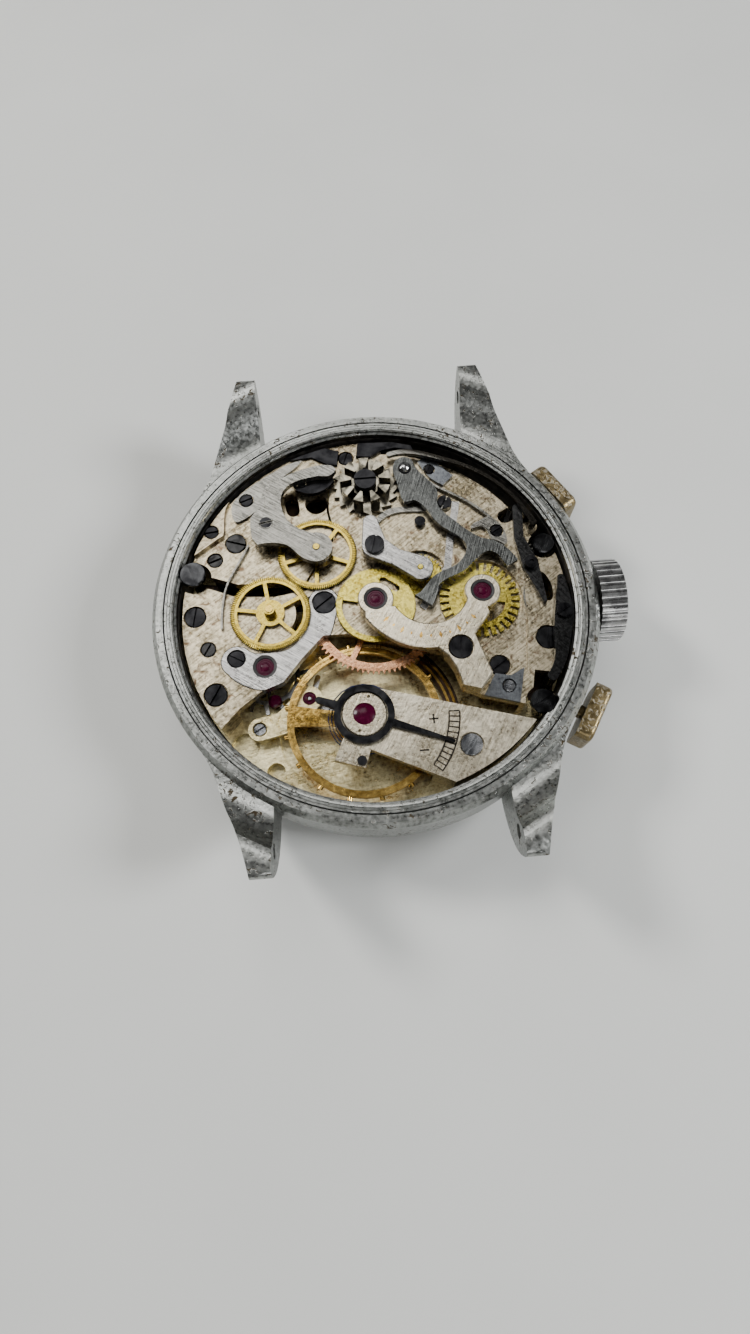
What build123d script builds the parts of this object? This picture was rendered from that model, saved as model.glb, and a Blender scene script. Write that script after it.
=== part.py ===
from build123d import *
import os
from math import acos, atan2, cos, degrees, hypot, pi, radians, sin

# A column-wheel chronograph wristwatch head with two sub-dials and its case back taken off.
# Millimetres. The origin is the centre of the crystal's flat outer face, on the axis of the
# movement. +Z points from the crystal to the open back, +X to the crown, and +Y to the
# lugs at six o'clock, so the start pusher is at -Y and the reset pusher at +Y.

# ---- driving dimensions ----
MOVEMENT_R = 15.5
CASE_R = 17.55
LUG_GAP = 17.2
LUG_TO_LUG = 40.8
SUBDIAL_X = 8.35

# heights of the layers, from the crystal up
CRYSTAL_TOP = 1.5
BEZEL_BOTTOM = 0.5
CASE_BOTTOM = 2.6
DIAL_BOTTOM = 3.3
DIAL_TOP = 3.7
PLATE_BOTTOM = 3.75
PLATE_TOP = 5.3
STEM_Z = 5.4
BRIDGE_BOTTOM = 7.0
BRIDGE_TOP = 7.85
LAND_TOP = 8.25
WHEEL_BOTTOM = 8.0
WHEEL_TOP = 8.2
HAMMER_BOTTOM = 8.3
HAMMER_TOP = 8.72
LEVER_BOTTOM = 8.8
LEVER_TOP = 9.35
CHRONO_TOP = 9.45
RIM_TOP = 9.0
LUG_TIP_Z = 11.0
LUG_HOLE = (18.5, 9.0, 0.55)
# the slanting ridge across each lug: its distance from the middle and its angle
RIDGE = 20.4
RIDGE_SLANT = 28.5

# axes of the movement, as seen from the open back
SECONDS_AXIS = (-SUBDIAL_X, 0.0)
COUNTER_AXIS = (SUBDIAL_X, 0.0)
COUPLING_AXIS = (-4.36, 4.92)
SLIDING_AXIS = (3.75, 2.45)
COLUMN_AXIS = (0.0, 10.8)
HAMMER_AXIS = (3.4, 12.0)
BALANCE_AXIS = (-1.57, -8.97)
ESCAPE_AXIS = (-8.95, -4.35)
FORK_AXIS = (-5.75, -6.75)
THIRD_AXIS = (-5.0, 3.3)
BARREL_AXIS = (4.08, 4.53)
CROWN_WHEEL_AXIS = (10.3, 3.6)
MINUTE_AXIS = (2.6, -1.5)
SLIDING_PIVOT = (0.28, 4.64)
OPERATING_PIVOT = (14.6, -1.98)
RESET_PIVOT = (12.7, 2.5)
BRAKE_PIVOT = (-5.3, 11.2)

PUSHER_ANGLE = 31.8
PUSHER_R = 18.75
PUSHER_THICK = 1.35
PUSHER_Z = 6.0
CROWN_RADIUS = 3.4

# the running gap between pieces that move past each other
RUN = 0.05
COUNTER_TOP = 7.78
COUNTER_BOTTOM = 7.58

# tooth sizes that follow from the distances between axes
RATCHET_MODULE = hypot(CROWN_WHEEL_AXIS[0] - BARREL_AXIS[0], CROWN_WHEEL_AXIS[1] - BARREL_AXIS[1]) / 49
CHRONO_MODULE = hypot(COUPLING_AXIS[0] - SECONDS_AXIS[0], COUPLING_AXIS[1] - SECONDS_AXIS[1]) / 120

os.makedirs("parts", exist_ok=True)


def save(name, shape):
    """Write one node. A list of solids is written as a group of separate solids."""
    if isinstance(shape, (list, tuple)):
        shape = Compound(children=[solid for item in shape for solid in item.solids()])
    export_step(shape, f"parts/{name}.step")


# ---- shapes that repeat ----
def disc(radius, low, high, at=(0, 0)):
    """A cylinder between two heights."""
    return Pos(at[0], at[1], (low + high) / 2) * Cylinder(radius, high - low)


def ring(outer, inner, low, high, at=(0, 0)):
    return disc(outer, low, high, at) - disc(inner, low - 1, high + 1, at)


def slab(face, low, high):
    """A flat outline made solid between two heights."""
    return Pos(0, 0, low) * extrude(face, high - low)


def polygon(*points):
    return make_face(Polyline(*points, close=True))


def limb(start, end):
    """The outline round two circles (x, y, radius) and the straight flanks between them."""
    (ax, ay, ar), (bx, by, br) = start, end
    reach = hypot(bx - ax, by - ay)
    along = atan2(by - ay, bx - ax)
    side = acos((ar - br) / reach)
    corners = [
        (x + r * cos(along + turn), y + r * sin(along + turn))
        for x, y, r, turn in (
            (ax, ay, ar, side),
            (bx, by, br, side),
            (bx, by, br, -side),
            (ax, ay, ar, -side),
        )
    ]
    return polygon(*corners) + Pos(ax, ay) * Circle(ar) + Pos(bx, by) * Circle(br)


def ribbon(*stations):
    """A lever's outline: limbs from each circle (x, y, radius) to the next."""
    outline = limb(stations[0], stations[1])
    for start, end in zip(stations[1:], stations[2:]):
        outline += limb(start, end)
    return outline


def blade(*stations):
    """A smooth outline with round ends through stations (x, y, half width)."""
    left, right = [], []
    last = len(stations) - 1
    for place, (x, y, half) in enumerate(stations):
        before = stations[max(place - 1, 0)]
        after = stations[min(place + 1, last)]
        along = atan2(after[1] - before[1], after[0] - before[0])
        left.append((x - half * sin(along), y + half * cos(along)))
        right.append((x + half * sin(along), y - half * cos(along)))
    tips = []
    for end, inner in ((stations[0], stations[1]), (stations[-1], stations[-2])):
        along = atan2(end[1] - inner[1], end[0] - inner[0])
        tips.append((end[0] + end[2] * cos(along), end[1] + end[2] * sin(along)))
    return make_face(
        [
            Spline(*left),
            ThreePointArc(left[-1], tips[1], right[-1]),
            Spline(*reversed(right)),
            ThreePointArc(right[0], tips[0], left[0]),
        ]
    )


def contour(*runs):
    """A face whose edge is a chain of smooth curves: each run starts where the last one ended."""
    edges = []
    start = runs[-1][-1]
    for run in runs:
        points = [start, *run]
        edges.append(Spline(*points) if len(points) > 2 else Line(*points))
        start = run[-1]
    return make_face(edges)


def toothed(teeth, module, turn=0.0, depth=2.0):
    """The outline of a toothed wheel, with a tooth at the angle turn, in degrees."""
    pitch = 2 * pi / teeth
    tip = module * (teeth / 2 + 0.9)
    root = tip - module * depth
    points = []
    for tooth in range(teeth):
        middle = radians(turn) + tooth * pitch
        for radius, offset in ((root, -0.26), (tip, -0.1), (tip, 0.1), (root, 0.26)):
            angle = middle + offset * pitch
            points.append((radius * cos(angle), radius * sin(angle)))
    return polygon(*points)


def bearing(start, end):
    """The angle in degrees of the line from one axis to another."""
    return degrees(atan2(end[1] - start[1], end[0] - start[0]))


def spoked(outline, spokes, hub, inner, width, turn=0.0):
    """A wheel's outline with its windows cut: straight spokes between a hub and a rim."""
    windows = Circle(inner) - Circle(hub)
    for spoke in range(spokes):
        windows -= Rot(0, 0, turn + spoke * 360 / spokes) * Pos(inner / 2, 0) * Rectangle(inner + 1, width)
    return outline - windows


def wheel(axis, outline, low, high, *arbors):
    """A wheel on its arbor. Each arbor is (radius, low, high)."""
    body = Pos(axis[0], axis[1], 0) * slab(outline, low, high)
    for radius, start, end in arbors:
        body += disc(radius, start, end, axis)
    return body


def screw(at, head, top, turn=0.0, thick=0.4, shank=0.42, length=0.4, slot=0.16):
    """A slotted cheese-head screw whose head ends at the height top."""
    body = disc(head, top - thick, top, at)
    body = chamfer(body.edges().group_by(Axis.Z)[-1], 0.06)
    body += disc(shank * head, top - thick - length, top - thick, at)
    cut = Pos(at[0], at[1], top) * Rot(0, 0, turn) * Box(3 * head, slot, 0.36)
    return body - cut


def screw_seat(at, head, top, thick=0.4, shank=0.42, length=0.4):
    """The sunk seat and hole that a screw fills."""
    seat = disc(head + 0.08, top - thick, top + 2, at)
    return seat + disc(shank * head, top - thick - length, top, at)


def hand(axis, angle, length, tail, width, low, high, boss, bore):
    """A baton hand with a boss round its pipe."""
    x, y = axis
    tip = (x + length * cos(radians(angle)), y + length * sin(radians(angle)))
    back = (x - tail * cos(radians(angle)), y - tail * sin(radians(angle)))
    outline = limb((*back, width * 0.6), (x, y, boss)) + limb((x, y, boss * 0.7), (*tip, width * 0.35))
    outline -= Pos(x, y) * Circle(bore)
    return slab(outline, low, high)


# ---- case ----
def case_middle():
    profile = make_face(
        Polyline(
            (14.1, CASE_BOTTOM),
            (16.9, CASE_BOTTOM),
            (CASE_R, 3.6),
            (CASE_R, 8.5),
            (17.15, RIM_TOP),
            (16.62, RIM_TOP),
            (16.58, 8.42),
            (16.3, 8.42),
            (16.26, 8.96),
            (16.14, 8.96),
            (16.1, 8.78),
            (16.04, 8.78),
            (16.0, 8.9),
            (15.86, 8.86),
            (15.82, 8.66),
            (15.65, 8.6),
            (15.65, DIAL_BOTTOM),
            (14.1, DIAL_BOTTOM),
            close=True,
        )
    )
    middle = revolve(Plane.XZ * profile, Axis.Z)
    for side in (1, -1):
        for end in (1, -1):
            middle += lug(side, end)
    hole_y, hole_z, hole_r = LUG_HOLE
    for end in (1, -1):
        middle -= Pos(0, end * hole_y, hole_z) * Rot(0, 90, 0) * Cylinder(hole_r, 30)
    tube_hole = Pos(16.5, 0, STEM_Z) * Rot(0, 90, 0) * Cylinder(1.0, 4)
    middle -= tube_hole
    for sign in (1, -1):
        middle -= Rot(0, 0, sign * PUSHER_ANGLE) * Pos(16.5, 0, PUSHER_Z) * Rot(0, 90, 0) * Cylinder(0.95, 4)
    return middle


def lug(side, end):
    """One horn: it sweeps up from the case to a slanting ridge and narrows to a rounded tip."""
    tip_y = LUG_TO_LUG / 2
    inner = LUG_GAP / 2
    flank = make_face(
        [
            Line((9.0, 12.0), (tip_y - 0.55, 12.0)),
            Line((tip_y - 0.55, 12.0), (tip_y - 0.55, LUG_TIP_Z)),
            ThreePointArc((tip_y - 0.55, LUG_TIP_Z), (tip_y - 0.12, 10.8), (tip_y, 10.3)),
            Spline((tip_y, 10.3), (18.9, 6.4), (16.0, 4.0), (12.5, 3.4), tangents=[(-0.1, -1), (-1, -0.1)]),
            Line((12.5, 3.4), (9.0, 3.4)),
            Line((9.0, 3.4), (9.0, 12.0)),
        ]
    )
    # the sweep is drawn square to the ridge, which slants across the horn
    sweep = make_face(
        [
            Line((5.0, 8.5), (17.4, 8.5)),
            Spline((17.4, 8.5), (18.5, 8.72), (19.6, 9.5), (RIDGE, 10.75), tangents=[(1, 0), (0.5, 1)]),
            Spline((RIDGE, 10.75), (RIDGE + 0.9, LUG_TIP_Z), (22.4, 10.85), (24.0, 10.0)),
            Line((24.0, 10.0), (24.0, 2.0)),
            Line((24.0, 2.0), (5.0, 2.0)),
            Line((5.0, 2.0), (5.0, 8.5)),
        ]
    )
    plan = contour(
        [(14.0, 8.9)],
        [(14.15, 9.5), (13.2, 11.9), (12.4, 14.1), (11.65, 15.9), (10.95, 17.3), (10.4, 19.1), (10.05, 21.0)],
        [(inner, 21.0)],
        [(inner, 12.0)],
    )
    horn = Pos(inner - 0.5, 0, 0) * extrude(Plane.YZ * flank, 7) & slab(plan, 2, 12)
    horn = horn & Rot(0, 0, -RIDGE_SLANT) * Pos(-6, 0, 0) * extrude(Plane.YZ * sweep, 18)
    horn -= disc(16.7, 0, 12)
    if side < 0:
        horn = mirror(horn, Plane.YZ)
    if end < 0:
        horn = mirror(horn, Plane.XZ)
    return horn


def bezel():
    profile = polygon(
        (14.95, BEZEL_BOTTOM),
        (15.75, BEZEL_BOTTOM),
        (16.75, 1.7),
        (16.9, CASE_BOTTOM),
        (14.95, CASE_BOTTOM),
    )
    return revolve(Plane.XZ * profile, Axis.Z)


def crystal():
    profile = polygon(
        (0, 0),
        (13.9, 0),
        (14.9, 0.7),
        (14.9, CASE_BOTTOM),
        (14.1, CASE_BOTTOM),
        (14.1, CRYSTAL_TOP),
        (0, CRYSTAL_TOP),
    )
    return revolve(Plane.XZ * profile, Axis.Z)


def radial(angle, height, shape):
    """A shape that lies along +X, turned out to an angle and lifted to a height."""
    return Rot(0, 0, angle) * Pos(0, 0, height) * shape


def lying_ring(outer, inner, start, end):
    """A tube along +X."""
    tube = Cylinder(outer, end - start) - Cylinder(inner, end - start + 1)
    return Pos((start + end) / 2, 0, 0) * Rot(0, 90, 0) * tube


def lying_rod(radius, start, end):
    return Pos((start + end) / 2, 0, 0) * Rot(0, 90, 0) * Cylinder(radius, end - start)


def case_tubes():
    tubes = [radial(0, STEM_Z, lying_ring(1.0, 0.65, 15.75, 17.7))]
    for sign in (1, -1):
        tubes.append(radial(sign * PUSHER_ANGLE, PUSHER_Z, lying_ring(0.95, 0.6, 15.75, 17.6)))
    return tubes


def crown():
    start, end = 17.8, 19.85
    flutes = 36
    face = Circle(CROWN_RADIUS)
    for flute in range(flutes):
        face -= Rot(0, 0, flute * 360 / flutes) * Pos(CROWN_RADIUS + 0.08, 0) * Circle(0.2)
    body = Pos(start, 0, 0) * extrude(Plane.YZ * face, end - start)
    cone = Cone(CROWN_RADIUS + 1.6, 2.9, 2.6, align=(Align.CENTER, Align.CENTER, Align.MIN))
    cone = Pos(start - 0.01, 0, 0) * Rot(0, 90, 0) * cone
    body = body & cone
    body += lying_rod(2.75, end - 0.3, end + 0.12)
    body -= lying_rod(0.45, start - 1, start + 0.9)
    return radial(0, STEM_Z, body)


def winding_stem():
    stem = lying_rod(0.45, 9.0, 18.7) - lying_ring(0.9, 0.28, 14.0, 14.5)
    return radial(0, STEM_Z, stem)


def lying_pinion(teeth, module, start, end, bore):
    face = toothed(teeth, module) - Circle(bore)
    return radial(0, STEM_Z, Pos(start, 0, 0) * extrude(Plane.YZ * face, end - start))


def keyless_pinions():
    """The winding pinion and, further in, the sliding pinion."""
    return [lying_pinion(12, 0.18, 10.3, 11.6, 0.47), lying_pinion(12, 0.17, 9.1, 10.1, 0.47)]


def pusher(sign, inner_end):
    """A rectangular cap on a round stem."""
    cap = Pos(PUSHER_R, 0, 0) * Box(PUSHER_THICK, 4.7, 3.6)
    cap = fillet(cap.edges().filter_by(Axis.X), 0.7)
    cap = fillet(cap.faces().sort_by(Axis.X)[-1].edges(), 0.35)
    stem = lying_rod(0.55, inner_end, PUSHER_R + 0.2)
    return radial(sign * PUSHER_ANGLE, PUSHER_Z, cap + stem)


# ---- dial side ----
def dial():
    face = Circle(15.4) - Circle(1.35)
    for x in (-SUBDIAL_X, SUBDIAL_X):
        face -= Pos(x, 0) * Circle(0.5)
    plate = slab(face, DIAL_BOTTOM, DIAL_TOP)
    for x in (-SUBDIAL_X, SUBDIAL_X):
        plate -= ring(3.6, 0.5, DIAL_BOTTOM - 1, DIAL_BOTTOM + 0.08, (x, 0))
    return plate


def dial_markers():
    """Twelve raised batons, the ones beside the sub-dials shorter."""
    markers = []
    for hour in range(12):
        length = 0.9 if hour in (0, 6) else 2.2
        baton = Box(length, 0.55, 0.18)
        markers.append(Rot(0, 0, hour * 30) * Pos(13.9 - length / 2 - 0.2, 0, DIAL_BOTTOM - 0.09) * baton)
    return markers


# ---- plates and bridges ----
# each bridge screw: place, head radius, height of the head's top, slot angle
BRIDGE_SCREWS = [
    ((-14.35, 0.27), 0.85, 7.82, 80),
    ((-11.14, -3.54), 0.68, 7.86, -30),
    ((-12.78, -6.33), 0.88, 7.82, 60),
    ((-12.9, 7.55), 0.56, 8.2, 5),
    ((-10.0, 10.38), 0.55, 8.14, 20),
    ((13.25, -3.7), 0.93, 7.82, 85),
    ((9.15, -5.73), 0.8, 7.9, 32),
    ((10.4, 5.8), 0.5, 8.18, 30),
    ((-1.45, 13.95), 0.62, 7.85, 70),
]
SMALL_ECCENTRICS = [
    ((-13.32, -2.58), 0.58, 7.88, 60),
    ((-12.7, 5.14), 0.6, 7.8, 20),
    ((-10.98, 6.53), 0.84, 7.95, -18),
]
# the short screw over the centre wheel, and the screws of the jumper and the small plate
FINGER_SCREW = ((-4.07, 0.67), 0.92, 7.9, 36)
JUMPER_SCREW = ((6.44, 8.84), 0.6, 8.27, 60)
PLATE_SCREW = ((5.5, 12.1), 0.42, 8.22, 70)
STEEL_COVER_SCREW = ((9.63, -7.46), 0.48, 8.05, 10)
COCK_SCREW = ((6.19, -11.86), 0.85, 8.38, 52)
CHRONO_SCREW = ((6.14, -4.53), 0.93, 9.42, 85)
# each movement screw that grips the case rim
CASE_SCREWS = [
    ((-14.35, 3.65), 1.05, 8.75, -70),
    ((12.02, -8.92), 1.0, 8.2, 28),
    ((14.05, 4.35), 0.9, 8.28, 60),
]
# the radius of each fixed pivot on the bridges, and its axis
PIVOT_HOLES = [
    (0.3, RESET_PIVOT),
    (0.5, COLUMN_AXIS),
    (0.5, SLIDING_PIVOT),
    (0.5, HAMMER_AXIS),
    (0.4, OPERATING_PIVOT),
    (0.35, BRAKE_PIVOT),
]
JEWEL_HOLES = [
    (ESCAPE_AXIS, 0.95, BRIDGE_TOP),
    ((0.0, 0.0), 0.92, CHRONO_TOP),
    (COUNTER_AXIS, 0.92, CHRONO_TOP),
]


def jewel(axis, radius, top, thick=0.45, hole=0.14):
    """A pierced jewel with a shallow oil sink in its outer face."""
    stone = disc(radius, top - 0.12 - thick, top - 0.12, axis)
    stone -= Pos(axis[0], axis[1], top + 0.28) * Sphere(0.52)
    return stone - disc(hole, top - 3, top + 1, axis)


def jewel_seat(axis, radius, top, thick=0.45):
    seat = disc(radius, top - 0.12 - thick, top + 1, axis)
    return seat + disc(0.32, top - 4, top, axis)


def balance_opening():
    """Where the bridges stop short of the balance and the centre wheel."""
    return polygon(
        (-13.2, -9.9),
        (-11.0, -7.6),
        (-9.3, -6.35),
        (-7.6, -5.75),
        (-6.05, -3.9),
        (-4.3, -2.15),
        (-2.5, -2.15),
        (0.5, -2.9),
        (1.7, -3.4),
        (4.75, -4.25),
        (5.7, -5.7),
        (6.1, -7.3),
        (7.6, -8.0),
        (12.9, -9.6),
        (16.0, -18.0),
        (-16.0, -18.0),
    )


def bridge_area():
    area = Circle(15.35) - balance_opening()
    for (x, y), head, _, _ in CASE_SCREWS:
        area -= Pos(x, y) * Circle(head + 0.3)
    area -= Pos(12.7, -7.3) * Rot(0, 0, -12) * Rectangle(2.2, 1.6)
    return area


def channel():
    """The gap between the upper and the lower left bridge."""
    return ribbon(
        (-15.6, 3.75, 0.5),
        (-13.0, 3.1, 0.5),
        (-11.0, 2.3, 0.55),
        (-8.0, 2.1, 0.6),
        (-5.6, 2.2, 0.35),
    )


def split_lines():
    """The narrow joints between the barrel bridge and the two left bridges."""
    upper = ribbon((-5.6, 2.2, 0.1), (-2.9, 6.5, 0.1), (-3.3, 9.0, 0.1), (-3.0, 12.5, 0.1), (-3.4, 16.0, 0.1))
    lower = ribbon((-5.6, 2.2, 0.1), (-3.4, 1.95, 0.1))
    return upper + lower


def train_outline(gap=0.0):
    """The polished finger bridge that carries the escape wheel and curls round the seconds axis."""
    return blade(
        (-4.1, 0.75, 1.15 + gap),
        (-4.35, -0.8, 1.0 + gap),
        (-5.1, -2.6, 1.0 + gap),
        (-6.7, -4.1, 1.1 + gap),
        (-8.6, -4.75, 1.5 + gap),
        (-10.1, -4.5, 1.35 + gap),
        (-11.1, -3.75, 1.2 + gap),
    )


def crescent_window():
    """The open gap between the finger bridge and the disc round the seconds axis."""
    sector = polygon((0, 0), (5.0, -5.6), (6.5, 0.5), (4.5, 1.9))
    return Pos(*SECONDS_AXIS) * ((Circle(4.3) - Circle(2.0)) & sector)


def right_edge_cut():
    """Where the barrel bridge stays clear of the case wall, past the ear of the long spring."""
    sector = polygon((0, 0), (20.0, 5.2), (20.0, 20.0), (2.2, 20.0))
    ear = limb((12.6, 5.7, 0.7), (13.35, 6.1, 0.5))
    return ((Circle(16.0) - Circle(14.2)) & sector) - ear


def raised_land():
    """Where the upper left bridge stands higher, outside the recess that holds the chronograph."""
    return contour(
        [(-13.67, 5.98), (-12.85, 6.57), (-11.95, 7.15)],
        [(-11.85, 8.4), (-11.75, 9.5), (-11.3, 10.4)],
        [(-12.5, 11.8)],
        [(-17.0, 11.8)],
        [(-17.0, 4.6)],
        [(-14.9, 5.2)],
    )


def bridge_pockets():
    """Everything that is let into the bridges from above or passes through them."""
    pockets = []
    for at, head, top, _ in BRIDGE_SCREWS + SMALL_ECCENTRICS + [PLATE_SCREW]:
        pockets.append(screw_seat(at, head, top))
    at, head, top, _ = FINGER_SCREW
    pockets.append(screw_seat(at, head, top, length=0.15))
    pockets.append(jewel_seat(ESCAPE_AXIS, 0.95, BRIDGE_TOP))
    pockets.append(disc(3.42, 7.5, 9, COUNTER_AXIS))
    pockets.append(disc(2.25, 7.5, 9, SLIDING_AXIS))
    pockets.append(disc(0.75, 4, 9))
    pockets.append(disc(0.5, 4, 9, COUNTER_AXIS))
    pockets.append(disc(0.5, 4, 9, SECONDS_AXIS))
    for axis in (THIRD_AXIS, CROWN_WHEEL_AXIS, BARREL_AXIS):
        pockets.append(disc(0.4, 4, 7.6, axis))
    # room under the bridges for the centre wheel and the pinion it drives
    pockets.append(disc(5.6, 6, 7.3))
    pockets.append(disc(0.85, 6, 7.3, THIRD_AXIS))
    # the two deep holes under the coupling lever
    pockets.append(disc(0.95, 4, 9, (-4.2, 9.7)))
    pockets.append(slab(limb((-6.3, 10.2, 0.6), (-6.15, 9.2, 0.55)), 4, 9))
    # the almond-shaped window over the winding stem
    almond = Pos(13.6, 0.7) * Rot(0, 0, -78) * Ellipse(1.35, 0.6)
    pockets.append(slab(almond, 4, 9))
    # the slot for the tab of the reset lever
    pockets.append(slab(ribbon((12.75, 7.85, 0.6), (11.3, 7.2, 0.6)), 4, 9))
    at, head, _, _ = JUMPER_SCREW
    pockets.append(disc(0.42 * head, 7.3, 9, at))
    for radius, axis in PIVOT_HOLES:
        pockets.append(disc(radius, 7.35, 9, axis))
    return pockets


def bridge(outline, foot, raised=False):
    """A bridge at its height with a foot along the edge of the movement."""
    body = slab(outline, BRIDGE_BOTTOM, BRIDGE_TOP)
    body += slab(outline & (Circle(15.35) - Circle(foot)), PLATE_TOP, BRIDGE_BOTTOM)
    if raised:
        body += slab(outline & raised_land(), BRIDGE_TOP, LAND_TOP)
    for pocket in bridge_pockets():
        body -= pocket
    return body


def bridges():
    """The upper left, lower left and barrel bridges, cut from one level."""
    area = bridge_area() - channel() - split_lines() - train_outline(0.07)
    pieces = area.faces().sort_by(SortBy.AREA)[-3:]
    pieces = sorted(pieces, key=lambda face: face.center().X)
    left = sorted(pieces[:2], key=lambda face: face.center().Y)
    return left[0], left[1], pieces[2]


def cut_from(shape, cuts):
    for cut in cuts:
        shape -= cut
    return shape


def keyless_pocket():
    """Room for the stem and its two pinions, and for the crown wheel above them."""
    room = Pos(12.0, 0, 5.45) * Box(6.6, 2.9, 2.7)
    room += Pos(15.0, 0, STEM_Z) * Box(2.0, 1.3, 1.2)
    room += disc(3.75, 6.65, BRIDGE_BOTTOM, CROWN_WHEEL_AXIS)
    return room


def pusher_channels():
    channels = []
    for sign in (1, -1):
        channels.append(radial(sign * PUSHER_ANGLE, PUSHER_Z, lying_rod(0.75, 13.3, 16.5)))
    return channels


def upper_bridge():
    return bridge(bridges()[1], 13.6, raised=True)


def lower_bridge():
    outline = bridges()[0] - crescent_window()
    return bridge(outline, 13.6)


def train_bridge():
    outline = train_outline() - balance_opening()
    body = slab(outline, BRIDGE_BOTTOM, BRIDGE_TOP + 0.05)
    return cut_from(body, bridge_pockets())


def barrel_bridge():
    body = bridge(bridges()[2] - right_edge_cut(), 13.6)
    body = cut_from(body, [keyless_pocket(), *pusher_channels()])
    at, head, top, _ = STEEL_COVER_SCREW
    body -= screw_seat(at, head, top)
    at, head, top, _ = CHRONO_SCREW
    body -= disc(0.42 * head, top - 3, top, at)
    # the joint line beside the minute counter
    seam = ribbon((12.0, -0.9, 0.05), (11.6, -3.4, 0.05), (11.2, -6.3, 0.05))
    body -= slab(seam, 7.65, 9)
    return body - slab(steel_cover_outline(), 7.6, 9)


def case_screw(at, head, top, turn):
    body = disc(head, top - 0.4, top, at)
    body = chamfer(body.edges().group_by(Axis.Z)[-1], 0.08)
    body += disc(0.42, PLATE_TOP - 0.9, top - 0.4, at)
    return body - Pos(at[0], at[1], top) * Rot(0, 0, turn) * Box(3 * head, 0.2, 0.36)


def case_screw_room():
    """The notches that the case screws' heads need in the rim."""
    notches = []
    for at, head, top, _ in CASE_SCREWS:
        notches.append(disc(head + RUN, top - 0.45, RIM_TOP + 1, at))
    return notches


def main_plate():
    plate = disc(MOVEMENT_R, PLATE_BOTTOM, PLATE_TOP)
    plate -= disc(5.6, PLATE_BOTTOM - 1, 4.62)
    plate -= keyless_pocket()
    for axis in (THIRD_AXIS, ESCAPE_AXIS, FORK_AXIS, BALANCE_AXIS, BARREL_AXIS):
        plate -= disc(0.32, 4.6, 6, axis)
    for axis in (SECONDS_AXIS, COUNTER_AXIS):
        plate -= disc(0.5, 3, 6, axis)
    plate -= disc(1.1, 3, 6)
    plate -= Pos(*MINUTE_AXIS, 4.8) * Cylinder(0.2, 1.2)
    for at, _, _, _ in CASE_SCREWS:
        plate -= disc(0.42, PLATE_TOP - 0.9, PLATE_TOP, at)
    plate -= disc(6.8, 4.85, 6, BALANCE_AXIS)
    # the round sink and the holes beside the balance
    plate -= disc(1.1, 4.9, 6, (-11.0, -10.0))
    plate -= disc(0.72, 4.4, 6, (-8.68, -12.14))
    plate -= disc(0.3, 4.7, 6, (-9.7, -8.95))
    plate -= disc(0.5, 4.7, 6, (8.2, -11.0))
    return plate


def pallet_bridge():
    outline = ribbon((*FORK_AXIS, 1.0), (-7.9, -8.6, 0.85), (-9.7, -8.95, 0.9))
    body = slab(outline, 6.0, 6.45)
    body += disc(0.85, PLATE_TOP, 6.0, (-9.7, -8.95))
    body -= screw_seat((-9.7, -8.95), 0.5, 6.4)
    body -= jewel_seat(FORK_AXIS, 0.55, 6.45, 0.3)
    return body


def cock_outline():
    """A wedge that narrows to the balance, with the ear that holds the hairspring's stud."""
    x, y = BALANCE_AXIS
    wedge = polygon((-0.6, -6.9), (12.6, -10.75), (8.0, -17.0), (4.6, -14.5), (-2.2, -11.2))
    wedge = wedge & Circle(15.3)
    ear = polygon((-3.15, -10.4), (-4.0, -12.25), (-1.75, -13.0), (-1.1, -11.0))
    return wedge + ear + Pos(x, y) * Circle(2.15)


def balance_cock():
    outline = cock_outline()
    foot = outline - Pos(*BALANCE_AXIS) * Circle(6.75)
    foot = foot.faces().sort_by(SortBy.AREA)[-1]
    body = slab(outline, 7.6, 8.35) + slab(foot, PLATE_TOP, 7.6)
    at, head, top, _ = COCK_SCREW
    body -= screw_seat(at, head, top, 0.4, 0.42, 1.6)
    body -= disc(0.5, 7, 9, BALANCE_AXIS)
    body -= disc(0.36, 7, 9, (-2.0, -12.45))
    body -= disc(0.5, PLATE_TOP - 1, 6.2, (8.2, -11.0))
    return body


def steady_pin():
    return disc(0.5, 4.7, 6.2, (8.2, -11.0))


def cap_setting():
    """The end-stone's setting, held on the cock by two small screws."""
    body = disc(1.72, 8.35, 8.68, BALANCE_AXIS) - disc(0.86, 8, 9, BALANCE_AXIS)
    body = chamfer(body.edges().group_by(Axis.Z)[-1].sort_by(SortBy.LENGTH)[-1:], 0.1)
    for x, y in ((-1.17, -7.65), (-2.0, -10.25)):
        body -= disc(0.14, 8, 9, (x, y))
    return body


def end_stone():
    stone = disc(0.86, 8.42, 8.62, BALANCE_AXIS)
    dome = Pos(*BALANCE_AXIS, 7.0) * Sphere(1.83) & disc(0.84, 8.62, 9.5, BALANCE_AXIS)
    return stone + dome


def regulator():
    """A polished ring with a long pointer over the scale and a short arm for the curb pins."""
    x, y = BALANCE_AXIS
    face = Circle(2.28) - Circle(1.78)
    pointer = limb((2.1, 0, 0.3), (6.95, 0, 0.1))
    arm = limb((-2.1, 0, 0.34), (-3.6, 0, 0.26))
    face += (pointer + arm) - Circle(1.95)
    body = slab(face, 8.4, 8.7)
    return Pos(x, y, 0) * Rot(0, 0, -21.9) * body


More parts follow.
